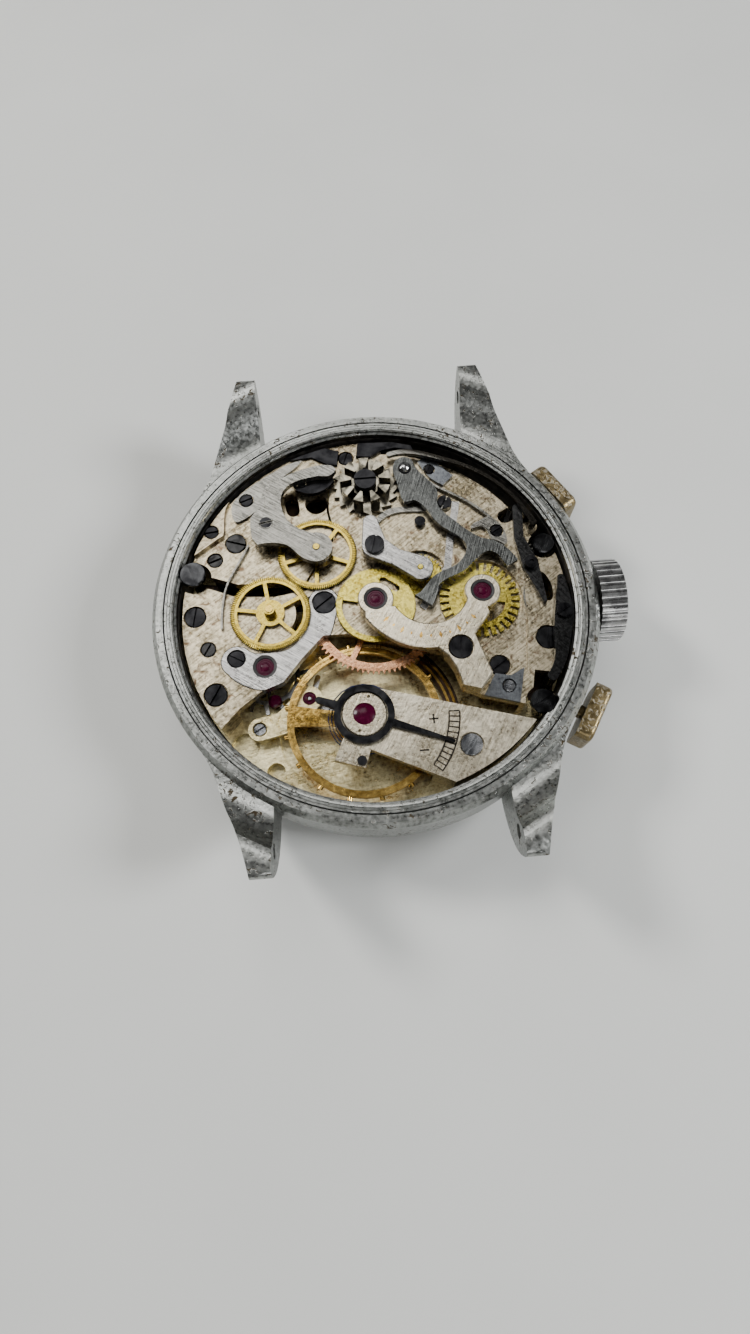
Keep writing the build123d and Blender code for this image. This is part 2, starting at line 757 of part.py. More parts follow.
def chrono_bridge_outline():
    right = SUBDIAL_X
    crescent = Pos(4.2, 1.65) * Circle(6.05) - Pos(4.25, 0.65) * Circle(3.1)
    crescent = crescent & polygon(
        (-0.9, -0.7),
        (3.0, -0.75),
        (right, -0.4),
        (8.7, -1.9),
        (5.9, -5.2),
        (1.0, -5.5),
        (-1.0, -2.5),
    )
    foot = polygon(
        (4.2, -4.2),
        (5.15, -5.2),
        (5.65, -6.2),
        (5.95, -7.5),
        (7.3, -7.9),
        (8.3, -6.7),
        (7.85, -5.2),
        (7.2, -3.0),
        (5.0, -2.8),
    )
    return crescent + foot + Circle(1.4) + Pos(right, 0) * Circle(1.4)


def chrono_bridge():
    outline = chrono_bridge_outline()
    foot = outline & polygon((4.9, -3.3), (7.2, -3.3), (9.0, -7.0), (7.3, -8.1), (5.85, -7.4), (4.9, -5.0))
    body = slab(outline, LEVER_BOTTOM, CHRONO_TOP) + slab(foot, BRIDGE_TOP, LEVER_BOTTOM)
    body = chamfer(body.faces().sort_by(Axis.Z)[-1].outer_wire().edges(), 0.08)
    for axis in ((0.0, 0.0), COUNTER_AXIS):
        body -= jewel_seat(axis, 0.92, CHRONO_TOP)
    at, head, top, _ = CHRONO_SCREW
    body -= screw_seat(at, head, top, 0.4, 0.42, 1.5)
    return body - slab(steel_cover_outline(), 7.6, 8.6)


def steel_cover_outline():
    return polygon((7.65, -8.05), (8.7, -6.4), (9.9, -6.65), (11.0, -6.1), (10.3, -8.85))


def steel_cover():
    body = slab(steel_cover_outline(), 7.6, 8.0)
    at, head, top, _ = STEEL_COVER_SCREW
    return body - screw_seat(at, head, top)


def small_plate():
    """The dark steel plate beside the hammer's pivot."""
    outline = contour(
        [(5.2, 13.25), (5.95, 13.0)],
        [(6.7, 12.1), (7.44, 11.35)],
        [(6.5, 10.5)],
        [(5.5, 11.3), (5.0, 12.05)],
        [(4.6, 12.9)],
    )
    at, head, top, _ = PLATE_SCREW
    return slab(outline, BRIDGE_TOP + 0.03, 8.12) - screw_seat(at, head, top)


# ---- screws, jewels and springs that stay put ----
def bridge_screws():
    screws = [screw(at, head, top, turn) for at, head, top, turn in BRIDGE_SCREWS + [PLATE_SCREW]]
    at, head, top, turn = FINGER_SCREW
    screws.append(screw(at, head, top, turn, length=0.15))
    at, head, top, turn = JUMPER_SCREW
    screws.append(screw(at, head, top, turn, thick=0.18, length=0.75))
    return screws


def eccentrics():
    return [screw(at, head, top, turn, slot=0.2) for at, head, top, turn in SMALL_ECCENTRICS]


def bright_screws():
    at, head, top, turn = COCK_SCREW
    cock = screw(at, head, top, turn, 0.4, 0.42, 1.6)
    at, head, top, turn = STEEL_COVER_SCREW
    cover = screw(at, head, top, turn)
    pallet = screw((-9.7, -8.95), 0.5, 6.4, 30)
    return [cock, cover, pallet]


def case_screws():
    return [case_screw(*values) for values in CASE_SCREWS]


def chrono_screws():
    at, head, top, turn = CHRONO_SCREW
    bridge_screw = screw(at, head, top, turn, 0.4, 0.42, 1.5)
    shoulder = disc(0.5, 7.35, 9.4, SLIDING_PIVOT) + disc(0.78, 9.4, 9.7, SLIDING_PIVOT)
    shoulder -= Pos(*SLIDING_PIVOT, 9.7) * Rot(0, 0, 75) * Box(3, 0.18, 0.3)
    cap = disc(0.42, 7.35, 9.1, COLUMN_AXIS) + disc(0.92, 9.0, 9.45, COLUMN_AXIS)
    cap -= Pos(*COLUMN_AXIS, 9.45) * Box(3, 0.22, 0.3)
    return [bridge_screw, shoulder, cap]


def lever_studs():
    hammer = disc(0.5, 7.35, 8.85, HAMMER_AXIS)
    hammer += Pos(*HAMMER_AXIS, 8.35) * Sphere(0.62) & disc(0.6, 8.8, 9.2, HAMMER_AXIS)
    reset = disc(0.3, 7.35, 8.5, RESET_PIVOT) + disc(0.55, 8.35, 8.7, RESET_PIVOT)
    reset -= disc(0.22, 8.55, 9, RESET_PIVOT)
    operating = disc(0.4, 7.35, 8.78, OPERATING_PIVOT) + disc(0.6, 8.78, 9.0, OPERATING_PIVOT)
    operating -= Pos(*OPERATING_PIVOT, 9.0) * Rot(0, 0, 30) * Box(2, 0.16, 0.24)
    brake = disc(0.35, 7.35, 8.76, BRAKE_PIVOT)
    spring_post = disc(0.45, BRIDGE_TOP, 8.25, (4.23, 7.19))
    return [hammer, reset, operating, brake, spring_post]


def jewels():
    stones = [jewel(axis, radius, top) for axis, radius, top in JEWEL_HOLES]
    stones.append(jewel(FORK_AXIS, 0.55, 6.45, 0.3))
    stones.append(end_stone())
    return stones


def coupling_spring():
    """The thin wire that bears on the coupling lever."""
    wire = blade(
        (-12.2, -1.0, 0.08),
        (-12.1, 0.9, 0.07),
        (-11.75, 2.6, 0.07),
        (-10.85, 4.4, 0.07),
        (-9.95, 6.1, 0.08),
    )
    return slab(wire, 7.9, 8.2)


def lever_leaf():
    """The leaf that lies beside the coupling lever, held by one screw."""
    outline = contour(
        [(-10.5, 10.95), (-9.5, 11.75), (-8.45, 12.45), (-7.3, 13.1), (-6.2, 13.65), (-5.15, 13.9)],
        [(-5.7, 13.3), (-6.8, 12.45), (-7.6, 11.85), (-8.3, 11.4)],
        [(-8.55, 10.85), (-8.8, 10.2), (-9.3, 9.3), (-10.0, 8.75), (-10.6, 8.45)],
        [(-11.0, 8.5), (-11.2, 9.0), (-11.25, 9.7), (-11.05, 10.3)],
    )
    at, head, top, _ = BRIDGE_SCREWS[4]
    return slab(outline, BRIDGE_TOP + 0.03, 8.1) - screw_seat(at, head, top)


def column_jumper():
    """The spring whose nose rests between the column wheel's ratchet teeth."""
    arm = blade((0.75, 7.55, 0.2), (2.3, 8.45, 0.26), (4.4, 8.4, 0.24), (6.44, 8.84, 0.55))
    at, head, _, _ = JUMPER_SCREW
    return slab(arm, 7.88, 8.06) - disc(0.42 * head, 7, 9, at)


def hammer_spring():
    """A screwed foot with a wavy edge, and the long thin blade that leaves it."""
    foot = contour(
        [(8.35, 6.3), (9.2, 6.9), (9.8, 7.15), (10.5, 6.75), (11.0, 5.9), (11.15, 4.7)],
        [(10.9, 4.45)],
        [(10.4, 4.85), (9.9, 5.05)],
        [(9.7, 5.55), (9.5, 6.05), (9.0, 6.3)],
        [(8.35, 6.15)],
    )
    arm = blade(
        (10.3, 6.75, 0.14),
        (9.3, 7.89, 0.11),
        (7.95, 9.05, 0.1),
        (6.95, 9.72, 0.1),
        (5.75, 10.5, 0.1),
        (4.85, 11.6, 0.1),
    )
    at, head, _, _ = BRIDGE_SCREWS[7]
    return slab(foot + arm, 7.88, 8.18) - disc(head + 0.08, 7, 9, at)


def long_spring():
    """The long blade round the top right edge that turns the column wheel."""
    post = (13.35, 6.1)
    arm = blade(
        (*post, 0.3),
        (12.15, 8.5, 0.15),
        (10.45, 10.45, 0.15),
        (8.3, 11.95, 0.16),
        (6.05, 12.95, 0.18),
        (3.9, 13.62, 0.2),
        (2.2, 13.5, 0.2),
    )
    return slab(arm, 8.34, 8.7) + disc(0.3, BRIDGE_TOP, 8.34, post)


def minute_jumper():
    blade = polygon((11.95, 0.75), (11.85, -1.6), (11.72, -0.2))
    return slab(blade, 7.88, 8.15)


def hairspring():
    """A flat spiral between its collet and the stud."""
    turns, steps, inner, outer, half = 9, 20, 0.75, 2.9, 0.035
    spiral = []
    for step in range(turns * steps + 1):
        part = step / (turns * steps)
        spiral.append((inner + (outer - inner) * part, 2 * pi * turns * part))
    out = [((r + half) * cos(a), (r + half) * sin(a)) for r, a in spiral]
    back = [((r - half) * cos(a), (r - half) * sin(a)) for r, a in reversed(spiral)]
    return Pos(*BALANCE_AXIS, 0) * slab(polygon(*out, *back), 7.28, 7.42)


def stud():
    return disc(0.36, 7.3, 8.55, (-2.0, -12.45))


# ---- going train ----
def barrel():
    drum = disc(4.7, PLATE_TOP + 0.05, 6.3, BARREL_AXIS) - disc(4.4, 5.5, 6.1, BARREL_AXIS)
    module = 2 * hypot(*BARREL_AXIS) / 98
    teeth = toothed(84, module, bearing(BARREL_AXIS, (0, 0))) - Circle(4.5)
    rim = Pos(*BARREL_AXIS, 0) * slab(teeth, 5.95, 6.2)
    return drum + rim - disc(0.75, 5, 7, BARREL_AXIS)


def mainspring():
    """The wound spring, as one flat coil inside the drum."""
    return ring(4.35, 2.1, 5.52, 6.08, BARREL_AXIS)


def barrel_arbor():
    arbor = disc(0.7, 5.4, 6.68, BARREL_AXIS) + disc(0.3, 4.7, 5.4, BARREL_AXIS)
    return arbor + disc(0.35, 6.68, 7.5, BARREL_AXIS)


def ratchet_wheel():
    face = toothed(48, RATCHET_MODULE, bearing(BARREL_AXIS, CROWN_WHEEL_AXIS)) - Circle(0.36)
    return Pos(*BARREL_AXIS, 0) * slab(face, 6.7, 6.95)


def crown_wheel():
    turn = bearing(CROWN_WHEEL_AXIS, BARREL_AXIS) + 180 / 50
    face = toothed(50, RATCHET_MODULE, turn)
    return wheel(CROWN_WHEEL_AXIS, face, 6.7, 6.95, (0.7, 6.62, 6.7), (0.35, 6.95, 7.5))


def center_wheel():
    module = 2 * hypot(*THIRD_AXIS) / 90
    rim = spoked(toothed(80, module, bearing((0, 0), THIRD_AXIS)), 5, 1.1, 4.55, 0.42, 98)
    pinion = toothed(14, 2 * hypot(*BARREL_AXIS) / 98, bearing((0, 0), BARREL_AXIS) + 180 / 14)
    body = slab(rim, 7.0, 7.2) + slab(pinion, 5.9, 7.0)
    body += disc(0.62, 7.2, 7.5) + disc(0.43, PLATE_BOTTOM - 1.05, 5.9)
    return body - disc(0.3, 0, 9)


def third_wheel():
    distance = hypot(THIRD_AXIS[0] - SECONDS_AXIS[0], THIRD_AXIS[1] - SECONDS_AXIS[1])
    rim = spoked(toothed(75, 2 * distance / 85, bearing(THIRD_AXIS, SECONDS_AXIS)), 4, 0.8, 3.4, 0.35)
    module = 2 * hypot(*THIRD_AXIS) / 90
    pinion = toothed(10, module, bearing(THIRD_AXIS, (0, 0)) + 18)
    body = wheel(THIRD_AXIS, rim, 5.42, 5.6, (0.3, 5.6, 6.95), (0.25, 4.7, 5.42), (0.3, 7.25, 7.5))
    return body + Pos(*THIRD_AXIS, 0) * slab(pinion, 6.95, 7.25)


def fourth_wheel():
    """The fourth wheel, its long pivot through the dial, and its pivot for the driving wheel."""
    distance = hypot(ESCAPE_AXIS[0] - SECONDS_AXIS[0], ESCAPE_AXIS[1] - SECONDS_AXIS[1])
    rim = spoked(toothed(80, 2 * distance / 88, bearing(SECONDS_AXIS, ESCAPE_AXIS)), 4, 0.8, 3.4, 0.35, 45)
    spacing = hypot(THIRD_AXIS[0] - SECONDS_AXIS[0], THIRD_AXIS[1] - SECONDS_AXIS[1])
    pinion = toothed(10, 2 * spacing / 85, bearing(SECONDS_AXIS, THIRD_AXIS) + 18)
    body = wheel(SECONDS_AXIS, rim, 6.1, 6.28, (0.3, 6.28, 9.03), (0.25, 2.9, 5.38), (0.4, 5.7, 6.1))
    return body + Pos(*SECONDS_AXIS, 0) * slab(pinion, 5.38, 5.7)


def escape_wheel():
    distance = hypot(ESCAPE_AXIS[0] - SECONDS_AXIS[0], ESCAPE_AXIS[1] - SECONDS_AXIS[1])
    points = []
    for tooth in range(15):
        middle = 2 * pi * tooth / 15
        for radius, offset in ((2.5, -0.09), (3.3, 0.02), (3.25, 0.1), (2.5, 0.06)):
            angle = middle + offset
            points.append((radius * cos(angle), radius * sin(angle)))
    rim = spoked(polygon(*points), 4, 0.6, 2.15, 0.25)
    pinion = toothed(8, 2 * distance / 88, bearing(ESCAPE_AXIS, SECONDS_AXIS) + 180 / 8)
    body = wheel(ESCAPE_AXIS, rim, 5.6, 5.74, (0.2, 4.7, 5.6), (0.25, 5.74, 6.0), (0.12, 6.4, 7.6))
    return body + Pos(*ESCAPE_AXIS, 0) * slab(pinion, 6.0, 6.4)


def pallet_fork():
    """The lever with its two pallet arms, its horns just short of the roller."""
    turn = bearing(FORK_AXIS, BALANCE_AXIS)
    lever = limb((0, 0, 0.45), (3.6, 0, 0.2)) + limb((3.3, 0, 0.22), (3.75, 0, 0.34))
    lever -= Pos(3.95, 0) * Circle(0.2)
    lever = Pos(*FORK_AXIS) * Rot(0, 0, turn) * lever
    x, y = FORK_AXIS
    arms = ribbon(
        (-5.05, -4.85, 0.22),
        (x + 0.4, -5.8, 0.22),
        (x, y, 0.45),
        (-6.7, -7.55, 0.22),
        (-7.55, -8.1, 0.2),
    )
    body = slab(lever + arms, 5.58, 5.76)
    return body + disc(0.2, 4.7, 5.58, FORK_AXIS) + disc(0.12, 5.76, 6.4, FORK_AXIS)


def balance_wheel():
    """A rim with a step and a groove, on two arms that broaden towards it."""
    rim = Circle(6.0) - Circle(5.45)
    arm = polygon((0, 0.42), (5.6, 0.85), (5.6, -0.85), (0, -0.42))
    arms = Rot(0, 0, 172) * (arm + Rot(0, 0, 180) * arm) & Circle(5.6)
    face = Circle(0.95) + arms - Circle(0.2)
    body = slab(face & Circle(5.45), 6.58, 6.78) + slab(rim, 6.5, 6.86)
    body += slab(Circle(5.95) - Circle(5.76), 6.86, 6.92) + slab(Circle(5.6) - Circle(5.45), 6.86, 6.92)
    return Pos(*BALANCE_AXIS, 0) * body


def balance_screws():
    screws = []
    for place in range(16):
        angle = place * 22.5 + 8
        head = lying_rod(0.2, 6.0, 6.28)
        screws.append(Pos(*BALANCE_AXIS, 0) * Rot(0, 0, angle) * Pos(0, 0, 6.7) * head)
    return screws


def balance_staff():
    staff = disc(0.2, 5.5, 8.2, BALANCE_AXIS) + disc(0.12, 4.7, 5.5, BALANCE_AXIS)
    staff += disc(0.7, 5.95, 6.1, BALANCE_AXIS) + disc(0.62, 7.2, 7.5, BALANCE_AXIS)
    return staff + disc(0.09, 5.8, 5.95, (BALANCE_AXIS[0] + 0.5, BALANCE_AXIS[1]))


# ---- chronograph ----
def driving_wheel():
    turn = bearing(SECONDS_AXIS, COUPLING_AXIS)
    face = spoked(toothed(120, CHRONO_MODULE, turn, 3.0), 5, 1.12, 2.62, 0.3, 98) - Circle(0.3)
    body = Pos(*SECONDS_AXIS, 0) * slab(face, WHEEL_BOTTOM, WHEEL_TOP)
    return body + ring(0.45, 0.3, WHEEL_TOP, 8.95, SECONDS_AXIS)


def coupling_wheel():
    turn = bearing(COUPLING_AXIS, SECONDS_AXIS) + 180 / 120
    face = spoked(toothed(120, CHRONO_MODULE, turn, 3.0), 5, 0.85, 2.65, 0.3, 50)
    return wheel(COUPLING_AXIS, face, WHEEL_BOTTOM, WHEEL_TOP, (0.25, WHEEL_TOP, 9.42))


def coupling_lever():
    """The thick lever that carries the coupling wheel and hooks round to the column wheel."""
    arm = contour(
        [(-5.2, 6.42), (-6.45, 7.4), (-7.0, 8.9), (-6.9, 9.98), (-6.3, 10.75), (-5.2, 11.22), (-3.8, 11.45)],
        [(-2.6, 11.6), (-2.35, 11.95)],
        [(-2.6, 12.3)],
        [(-3.2, 12.45), (-4.65, 12.28), (-5.6, 12.02), (-6.7, 11.56), (-7.6, 11.1), (-8.25, 10.7)],
        [(-8.5, 10.1), (-8.65, 9.42), (-9.1, 8.55), (-9.5, 7.95)],
        [(-9.55, 7.0), (-9.43, 6.06)],
        [(-9.0, 5.5)],
        [(-7.7, 5.55), (-6.6, 5.2), (-5.75, 4.3), (-4.46, 3.7)],
        [(-4.2, 6.1)],
    )
    outline = arm + Pos(*COUPLING_AXIS) * Circle(1.3)
    body = slab(outline, LEVER_BOTTOM, LEVER_TOP)
    body += disc(1.0, BRIDGE_TOP + RUN, LEVER_BOTTOM, (-8.29, 7.41))
    body -= disc(0.3, 8, 10, COUPLING_AXIS)
    return body - Pos(-8.29, 7.41, LEVER_TOP) * Cylinder(0.58, 0.5)


def coupling_screw():
    head = disc(0.56, LEVER_TOP - 0.25, LEVER_TOP + 0.05, (-8.29, 7.41))
    return head - Pos(-8.29, 7.41, LEVER_TOP + 0.05) * Rot(0, 0, 10) * Box(2, 0.16, 0.3)


def heart(axis, turn):
    """A heart cam: two lobes that meet in a notch, opposite the point."""
    lobes = limb((-0.35, 0.42, 0.62), (0.75, 0.12, 0.25)) + limb((-0.35, -0.42, 0.62), (0.75, -0.12, 0.25))
    return Pos(*axis, 0) * Rot(0, 0, turn) * slab(lobes, HAMMER_BOTTOM, HAMMER_TOP)


def chrono_runner():
    """The central wheel with its heart cam and the long arbor for the centre seconds hand."""
    face = toothed(160, 2 * 3.13 / 160, 0, 1.6)
    window = (Circle(2.68) - Circle(1.15)) & polygon((0, 0), (-4.0, 1.0), (-4.0, -4.0), (0.5, -4.0))
    slot = limb((0.75, 2.05, 0.3), (1.75, 1.3, 0.3))
    body = slab(face - window - slot, WHEEL_BOTTOM, WHEEL_TOP)
    body += disc(0.24, 1.75, 8.78) + disc(0.12, 8.78, 9.25) + disc(0.8, WHEEL_TOP, HAMMER_BOTTOM)
    return body + heart((0, 0), 255)


def minute_counter():
    face = Circle(3.2) - Circle(0.2)
    for tooth in range(30):
        face -= Rot(0, 0, tooth * 12 + 3) * Pos(2.95, 0) * Rectangle(0.95, 0.26)
    face -= (Circle(2.05) - Circle(1.2)) & polygon((0, 0), (4, -0.9), (4, -4), (0.8, -4))
    arbors = ((0.25, 2.9, 8.78), (0.12, 8.78, 9.25), (0.8, COUNTER_TOP, HAMMER_BOTTOM))
    body = wheel(COUNTER_AXIS, face, COUNTER_BOTTOM, COUNTER_TOP, *arbors)
    return body + heart(COUNTER_AXIS, 250)


def sliding_gear_wheel():
    face = toothed(36, 2 * 1.84 / 36, 0, 1.9)
    arbors = ((1.35, COUNTER_TOP, 7.94), (0.2, 7.94, 9.42))
    return wheel(SLIDING_AXIS, face, COUNTER_BOTTOM, COUNTER_TOP, *arbors)


def sliding_gear_lever():
    outline = ribbon((0.12, 6.84, 0.6), (*SLIDING_PIVOT, 1.02), (1.85, 3.55, 0.72), (*SLIDING_AXIS, 1.02))
    body = slab(outline, LEVER_BOTTOM, LEVER_TOP)
    body = chamfer(body.faces().sort_by(Axis.Z)[-1].outer_wire().edges(), 0.06)
    return body - disc(0.55, 8, 10, SLIDING_PIVOT) - disc(0.25, 8, 10, SLIDING_AXIS)


def column_wheel():
    """Nine columns on a ratchet of eighteen teeth."""
    points = []
    for tooth in range(18):
        middle = 2 * pi * tooth / 18
        points.append((2.35 * cos(middle), 2.35 * sin(middle)))
        points.append((2.8 * cos(middle + 0.3), 2.8 * sin(middle + 0.3)))
    columns = Circle(2.1) - Circle(1.15)
    for gap in range(9):
        columns -= Rot(0, 0, gap * 40 - 10) * Pos(1.9, 0) * Rectangle(1.6, 0.62)
    body = slab(polygon(*points), 7.9, WHEEL_TOP) + slab(columns, WHEEL_TOP, 9.3)
    body += disc(1.2, WHEEL_TOP, 8.7)
    body -= disc(0.47, 7, 9.5)
    return Pos(*COLUMN_AXIS, 0) * body


def hammer():
    """One Y-shaped piece whose two arms return both heart cams."""
    outline = contour(
        [(4.75, 11.35), (5.55, 10.3), (5.9, 9.2), (5.75, 8.6), (6.35, 7.39), (7.2, 6.5)],
        [(8.1, 5.6), (9.0, 4.95)],
        [(9.8, 4.7), (10.6, 4.2), (11.2, 3.5), (11.65, 2.8)],
        [(10.73, 2.25)],
        [(10.45, 2.75), (10.15, 3.3), (9.74, 3.65), (9.17, 3.7), (8.67, 3.4), (8.1, 2.9), (7.5, 2.35)],
        [(6.65, 1.9), (5.57, 1.44), (5.05, 0.99)],
        [(4.94, 0.31)],
        [(4.4, -0.65)],
        [(3.15, 0.36)],
        [(4.05, 1.05), (4.51, 1.62), (5.07, 2.05), (5.9, 2.4), (6.62, 2.7), (7.2, 3.2), (7.62, 3.87)],
        [(7.65, 4.5), (7.25, 5.15), (6.41, 5.86), (5.56, 6.66), (5.1, 7.43), (4.6, 8.3), (3.92, 8.9)],
        [(3.05, 8.75)],
        [(2.8, 9.5), (2.62, 10.8), (2.4, 12.0), (2.75, 12.85), (3.5, 13.1), (4.15, 12.5)],
    )
    body = slab(outline, HAMMER_BOTTOM, HAMMER_TOP)
    return body - disc(0.55, 8, 9, HAMMER_AXIS)


def brake_lever():
    outline = blade((*BRAKE_PIVOT, 0.72), (-4.2, 11.0, 0.75), (-3.2, 11.25, 0.5), (-2.9, 11.4, 0.34))
    return slab(outline, 8.3, 8.7) - disc(0.4, 8, 9, BRAKE_PIVOT)


def operating_lever():
    """The lever that the start pusher turns, with the tab that reaches down to it."""
    outline = blade(
        (12.9, -7.15, 0.4),
        (13.75, -5.7, 0.46),
        (14.2, -3.8, 0.66),
        (*OPERATING_PIVOT, 0.72),
        (14.75, -0.4, 0.5),
        (14.8, 0.9, 0.3),
    )
    body = slab(outline, 8.32, 8.74) + disc(0.38, 5.5, 8.32, (12.9, -7.15))
    return body - disc(0.45, 8, 9, OPERATING_PIVOT)


def reset_lever():
    outline = ribbon((13.4, -0.75, 0.16), (*RESET_PIVOT, 0.66), (12.1, 5.0, 0.4), (12.35, 7.65, 0.4))
    body = slab(outline, BRIDGE_TOP + RUN, 8.27) + disc(0.38, 5.5, BRIDGE_TOP + RUN, (12.35, 7.65))
    return body - disc(0.35, 7, 9, RESET_PIVOT)


# ---- motion work and hands ----
def cannon_pinion():
    turn = bearing((0, 0), MINUTE_AXIS)
    module = 2 * hypot(*MINUTE_AXIS) / 48
    return ring(0.62, 0.47, 2.3, 4.55) + slab(toothed(12, module, turn) - Circle(0.47), 3.95, 4.55)


def minute_wheel():
    module = 2 * hypot(*MINUTE_AXIS) / 48
    turn = bearing(MINUTE_AXIS, (0, 0)) + 180 / 36
    body = wheel(MINUTE_AXIS, toothed(36, module, turn), 4.2, 4.5, (0.16, 4.5, 5.0))
    pinion = toothed(10, 2 * hypot(*MINUTE_AXIS) / 50, bearing(MINUTE_AXIS, (0, 0)))
    return body + Pos(*MINUTE_AXIS, 0) * slab(pinion, 3.74, 4.2)


def hour_wheel():
    turn = bearing((0, 0), MINUTE_AXIS) + 180 / 40
    rim = toothed(40, 2 * hypot(*MINUTE_AXIS) / 50, turn) - Circle(0.67)
    return slab(rim, 3.74, 3.9) + ring(0.92, 0.67, 2.65, 3.74)


def hands():
    return {
        "hour_hand": hand((0, 0), 150, 7.0, 1.2, 0.75, 2.65, 2.8, 1.15, 0.92),
        "minute_hand": hand((0, 0), 20, 11.2, 1.6, 0.6, 2.3, 2.45, 0.95, 0.62),
        "chrono_hand": hand((0, 0), -90, 12.6, 4.0, 0.26, 1.8, 1.95, 0.6, 0.24),
        "seconds_hand": hand(SECONDS_AXIS, 215, 2.6, 0.9, 0.22, 2.95, 3.08, 0.36, 0.25),
        "counter_hand": hand(COUNTER_AXIS, -90, 2.6, 0.9, 0.22, 2.95, 3.08, 0.36, 0.25),
    }


if __name__ == "__main__":
    middle = cut_from(case_middle(), case_screw_room())
    save("case_middle", middle)
    save("bezel", bezel())
    save("crystal", crystal())
    save("case_tubes", case_tubes())
    save("crown", crown())
    save("winding_stem", winding_stem())
    save("keyless_pinions", keyless_pinions())
    save("start_pusher", pusher(-1, 15.12))
    save("reset_pusher", pusher(1, 14.97))
    save("dial", dial())
    save("dial_markers", dial_markers())
    save("main_plate", main_plate())
    save("upper_bridge", upper_bridge())
    save("lower_bridge", lower_bridge())
    save("train_bridge", train_bridge())
    save("barrel_bridge", barrel_bridge())
    save("pallet_bridge", pallet_bridge())
    save("balance_cock", balance_cock())
    save("cap_setting", cap_setting())
    save("regulator", regulator())
    save("chrono_bridge", chrono_bridge())
    save("steel_cover", [steel_cover(), small_plate()])
    save("bridge_screws", bridge_screws())
    save("bright_screws", bright_screws() + eccentrics())
    save("case_screws", case_screws())
    save("chrono_studs", chrono_screws() + lever_studs() + [steady_pin(), stud()])
    save("jewels", jewels())
    springs = [coupling_spring(), lever_leaf(), column_jumper()]
    save("springs", springs + [hammer_spring(), long_spring(), minute_jumper()])
    save("hairspring", hairspring())
    save("barrel", [barrel(), mainspring()])
    save("ratchet_wheel", [ratchet_wheel(), barrel_arbor()])
    save("crown_wheel", crown_wheel())
    save("center_wheel", center_wheel())
    save("third_wheel", third_wheel())
    save("fourth_wheel", fourth_wheel())
    save("escape_wheel", escape_wheel())
    save("pallet_fork", pallet_fork())
    save("balance_wheel", balance_wheel())
    save("balance_screws", balance_screws())
    save("balance_staff", balance_staff())
    save("driving_wheel", driving_wheel())
    save("coupling_wheel", coupling_wheel())
    save("coupling_lever", [coupling_lever(), coupling_screw()])
    save("chrono_runner", chrono_runner())
    save("minute_counter", minute_counter())
    save("sliding_gear_wheel", sliding_gear_wheel())
    save("sliding_gear_lever", sliding_gear_lever())
    save("column_wheel", column_wheel())
    save("hammer", hammer())
    save("brake_lever", brake_lever())
    save("operating_lever", operating_lever())
    save("reset_lever", reset_lever())
    save("cannon_pinion", cannon_pinion())
    save("minute_wheel", minute_wheel())
    save("hour_wheel", hour_wheel())
    for name, shape in hands().items():
        save(name, shape)
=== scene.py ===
import bpy
import bmesh
from math import atan2, cos, hypot, pi, radians, sin
from mathutils import Matrix, Vector


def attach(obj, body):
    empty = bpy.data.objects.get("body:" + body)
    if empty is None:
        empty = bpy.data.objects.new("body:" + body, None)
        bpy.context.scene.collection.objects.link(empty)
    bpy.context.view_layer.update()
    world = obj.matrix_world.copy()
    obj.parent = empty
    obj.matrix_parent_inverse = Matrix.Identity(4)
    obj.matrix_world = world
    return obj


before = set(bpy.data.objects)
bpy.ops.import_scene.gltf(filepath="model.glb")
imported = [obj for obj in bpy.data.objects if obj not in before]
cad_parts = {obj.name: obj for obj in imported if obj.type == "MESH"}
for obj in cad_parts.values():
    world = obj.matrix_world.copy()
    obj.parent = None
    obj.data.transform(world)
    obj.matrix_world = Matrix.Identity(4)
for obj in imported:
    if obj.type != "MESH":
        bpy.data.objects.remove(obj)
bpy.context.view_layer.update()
MM = 0.001
WATCH_CENTRE = (0, 0, 0.008)


# ---- camera, light and floor ----
def add_camera():
    """A camera high above the watch and a little to its -Y side, with the crown at the right."""
    data = bpy.data.cameras.new("camera")
    data.sensor_fit = "VERTICAL"
    data.sensor_height = 36.0
    data.lens = 20.51
    data.clip_start = 0.002
    data.clip_end = 5.0
    camera = bpy.data.objects.new("camera", data)
    bpy.context.collection.objects.link(camera)
    right = Vector((0.996753, -0.080197, -0.007160))
    up = Vector((0.078072, 0.940926, 0.329490))
    back = -Vector((0.019687, 0.328980, -0.944132))
    turn = Matrix((right, up, back)).transposed().to_4x4()
    place = Vector((-1.6228, -24.4112, 63.3305)) * MM
    camera.matrix_world = Matrix.Translation(place) @ turn
    bpy.context.scene.camera = camera


def add_area(name, place, size, power, tint=(1.0, 1.0, 1.0)):
    """A rectangular light, placed in metres and aimed at the middle of the watch."""
    data = bpy.data.lights.new(name, "AREA")
    data.shape = "RECTANGLE"
    data.size, data.size_y = size
    data.energy = power
    data.color = tint
    light = bpy.data.objects.new(name, data)
    bpy.context.collection.objects.link(light)
    light.location = place
    aim = Vector(WATCH_CENTRE) - Vector(place)
    light.rotation_euler = aim.to_track_quat("-Z", "Y").to_euler()


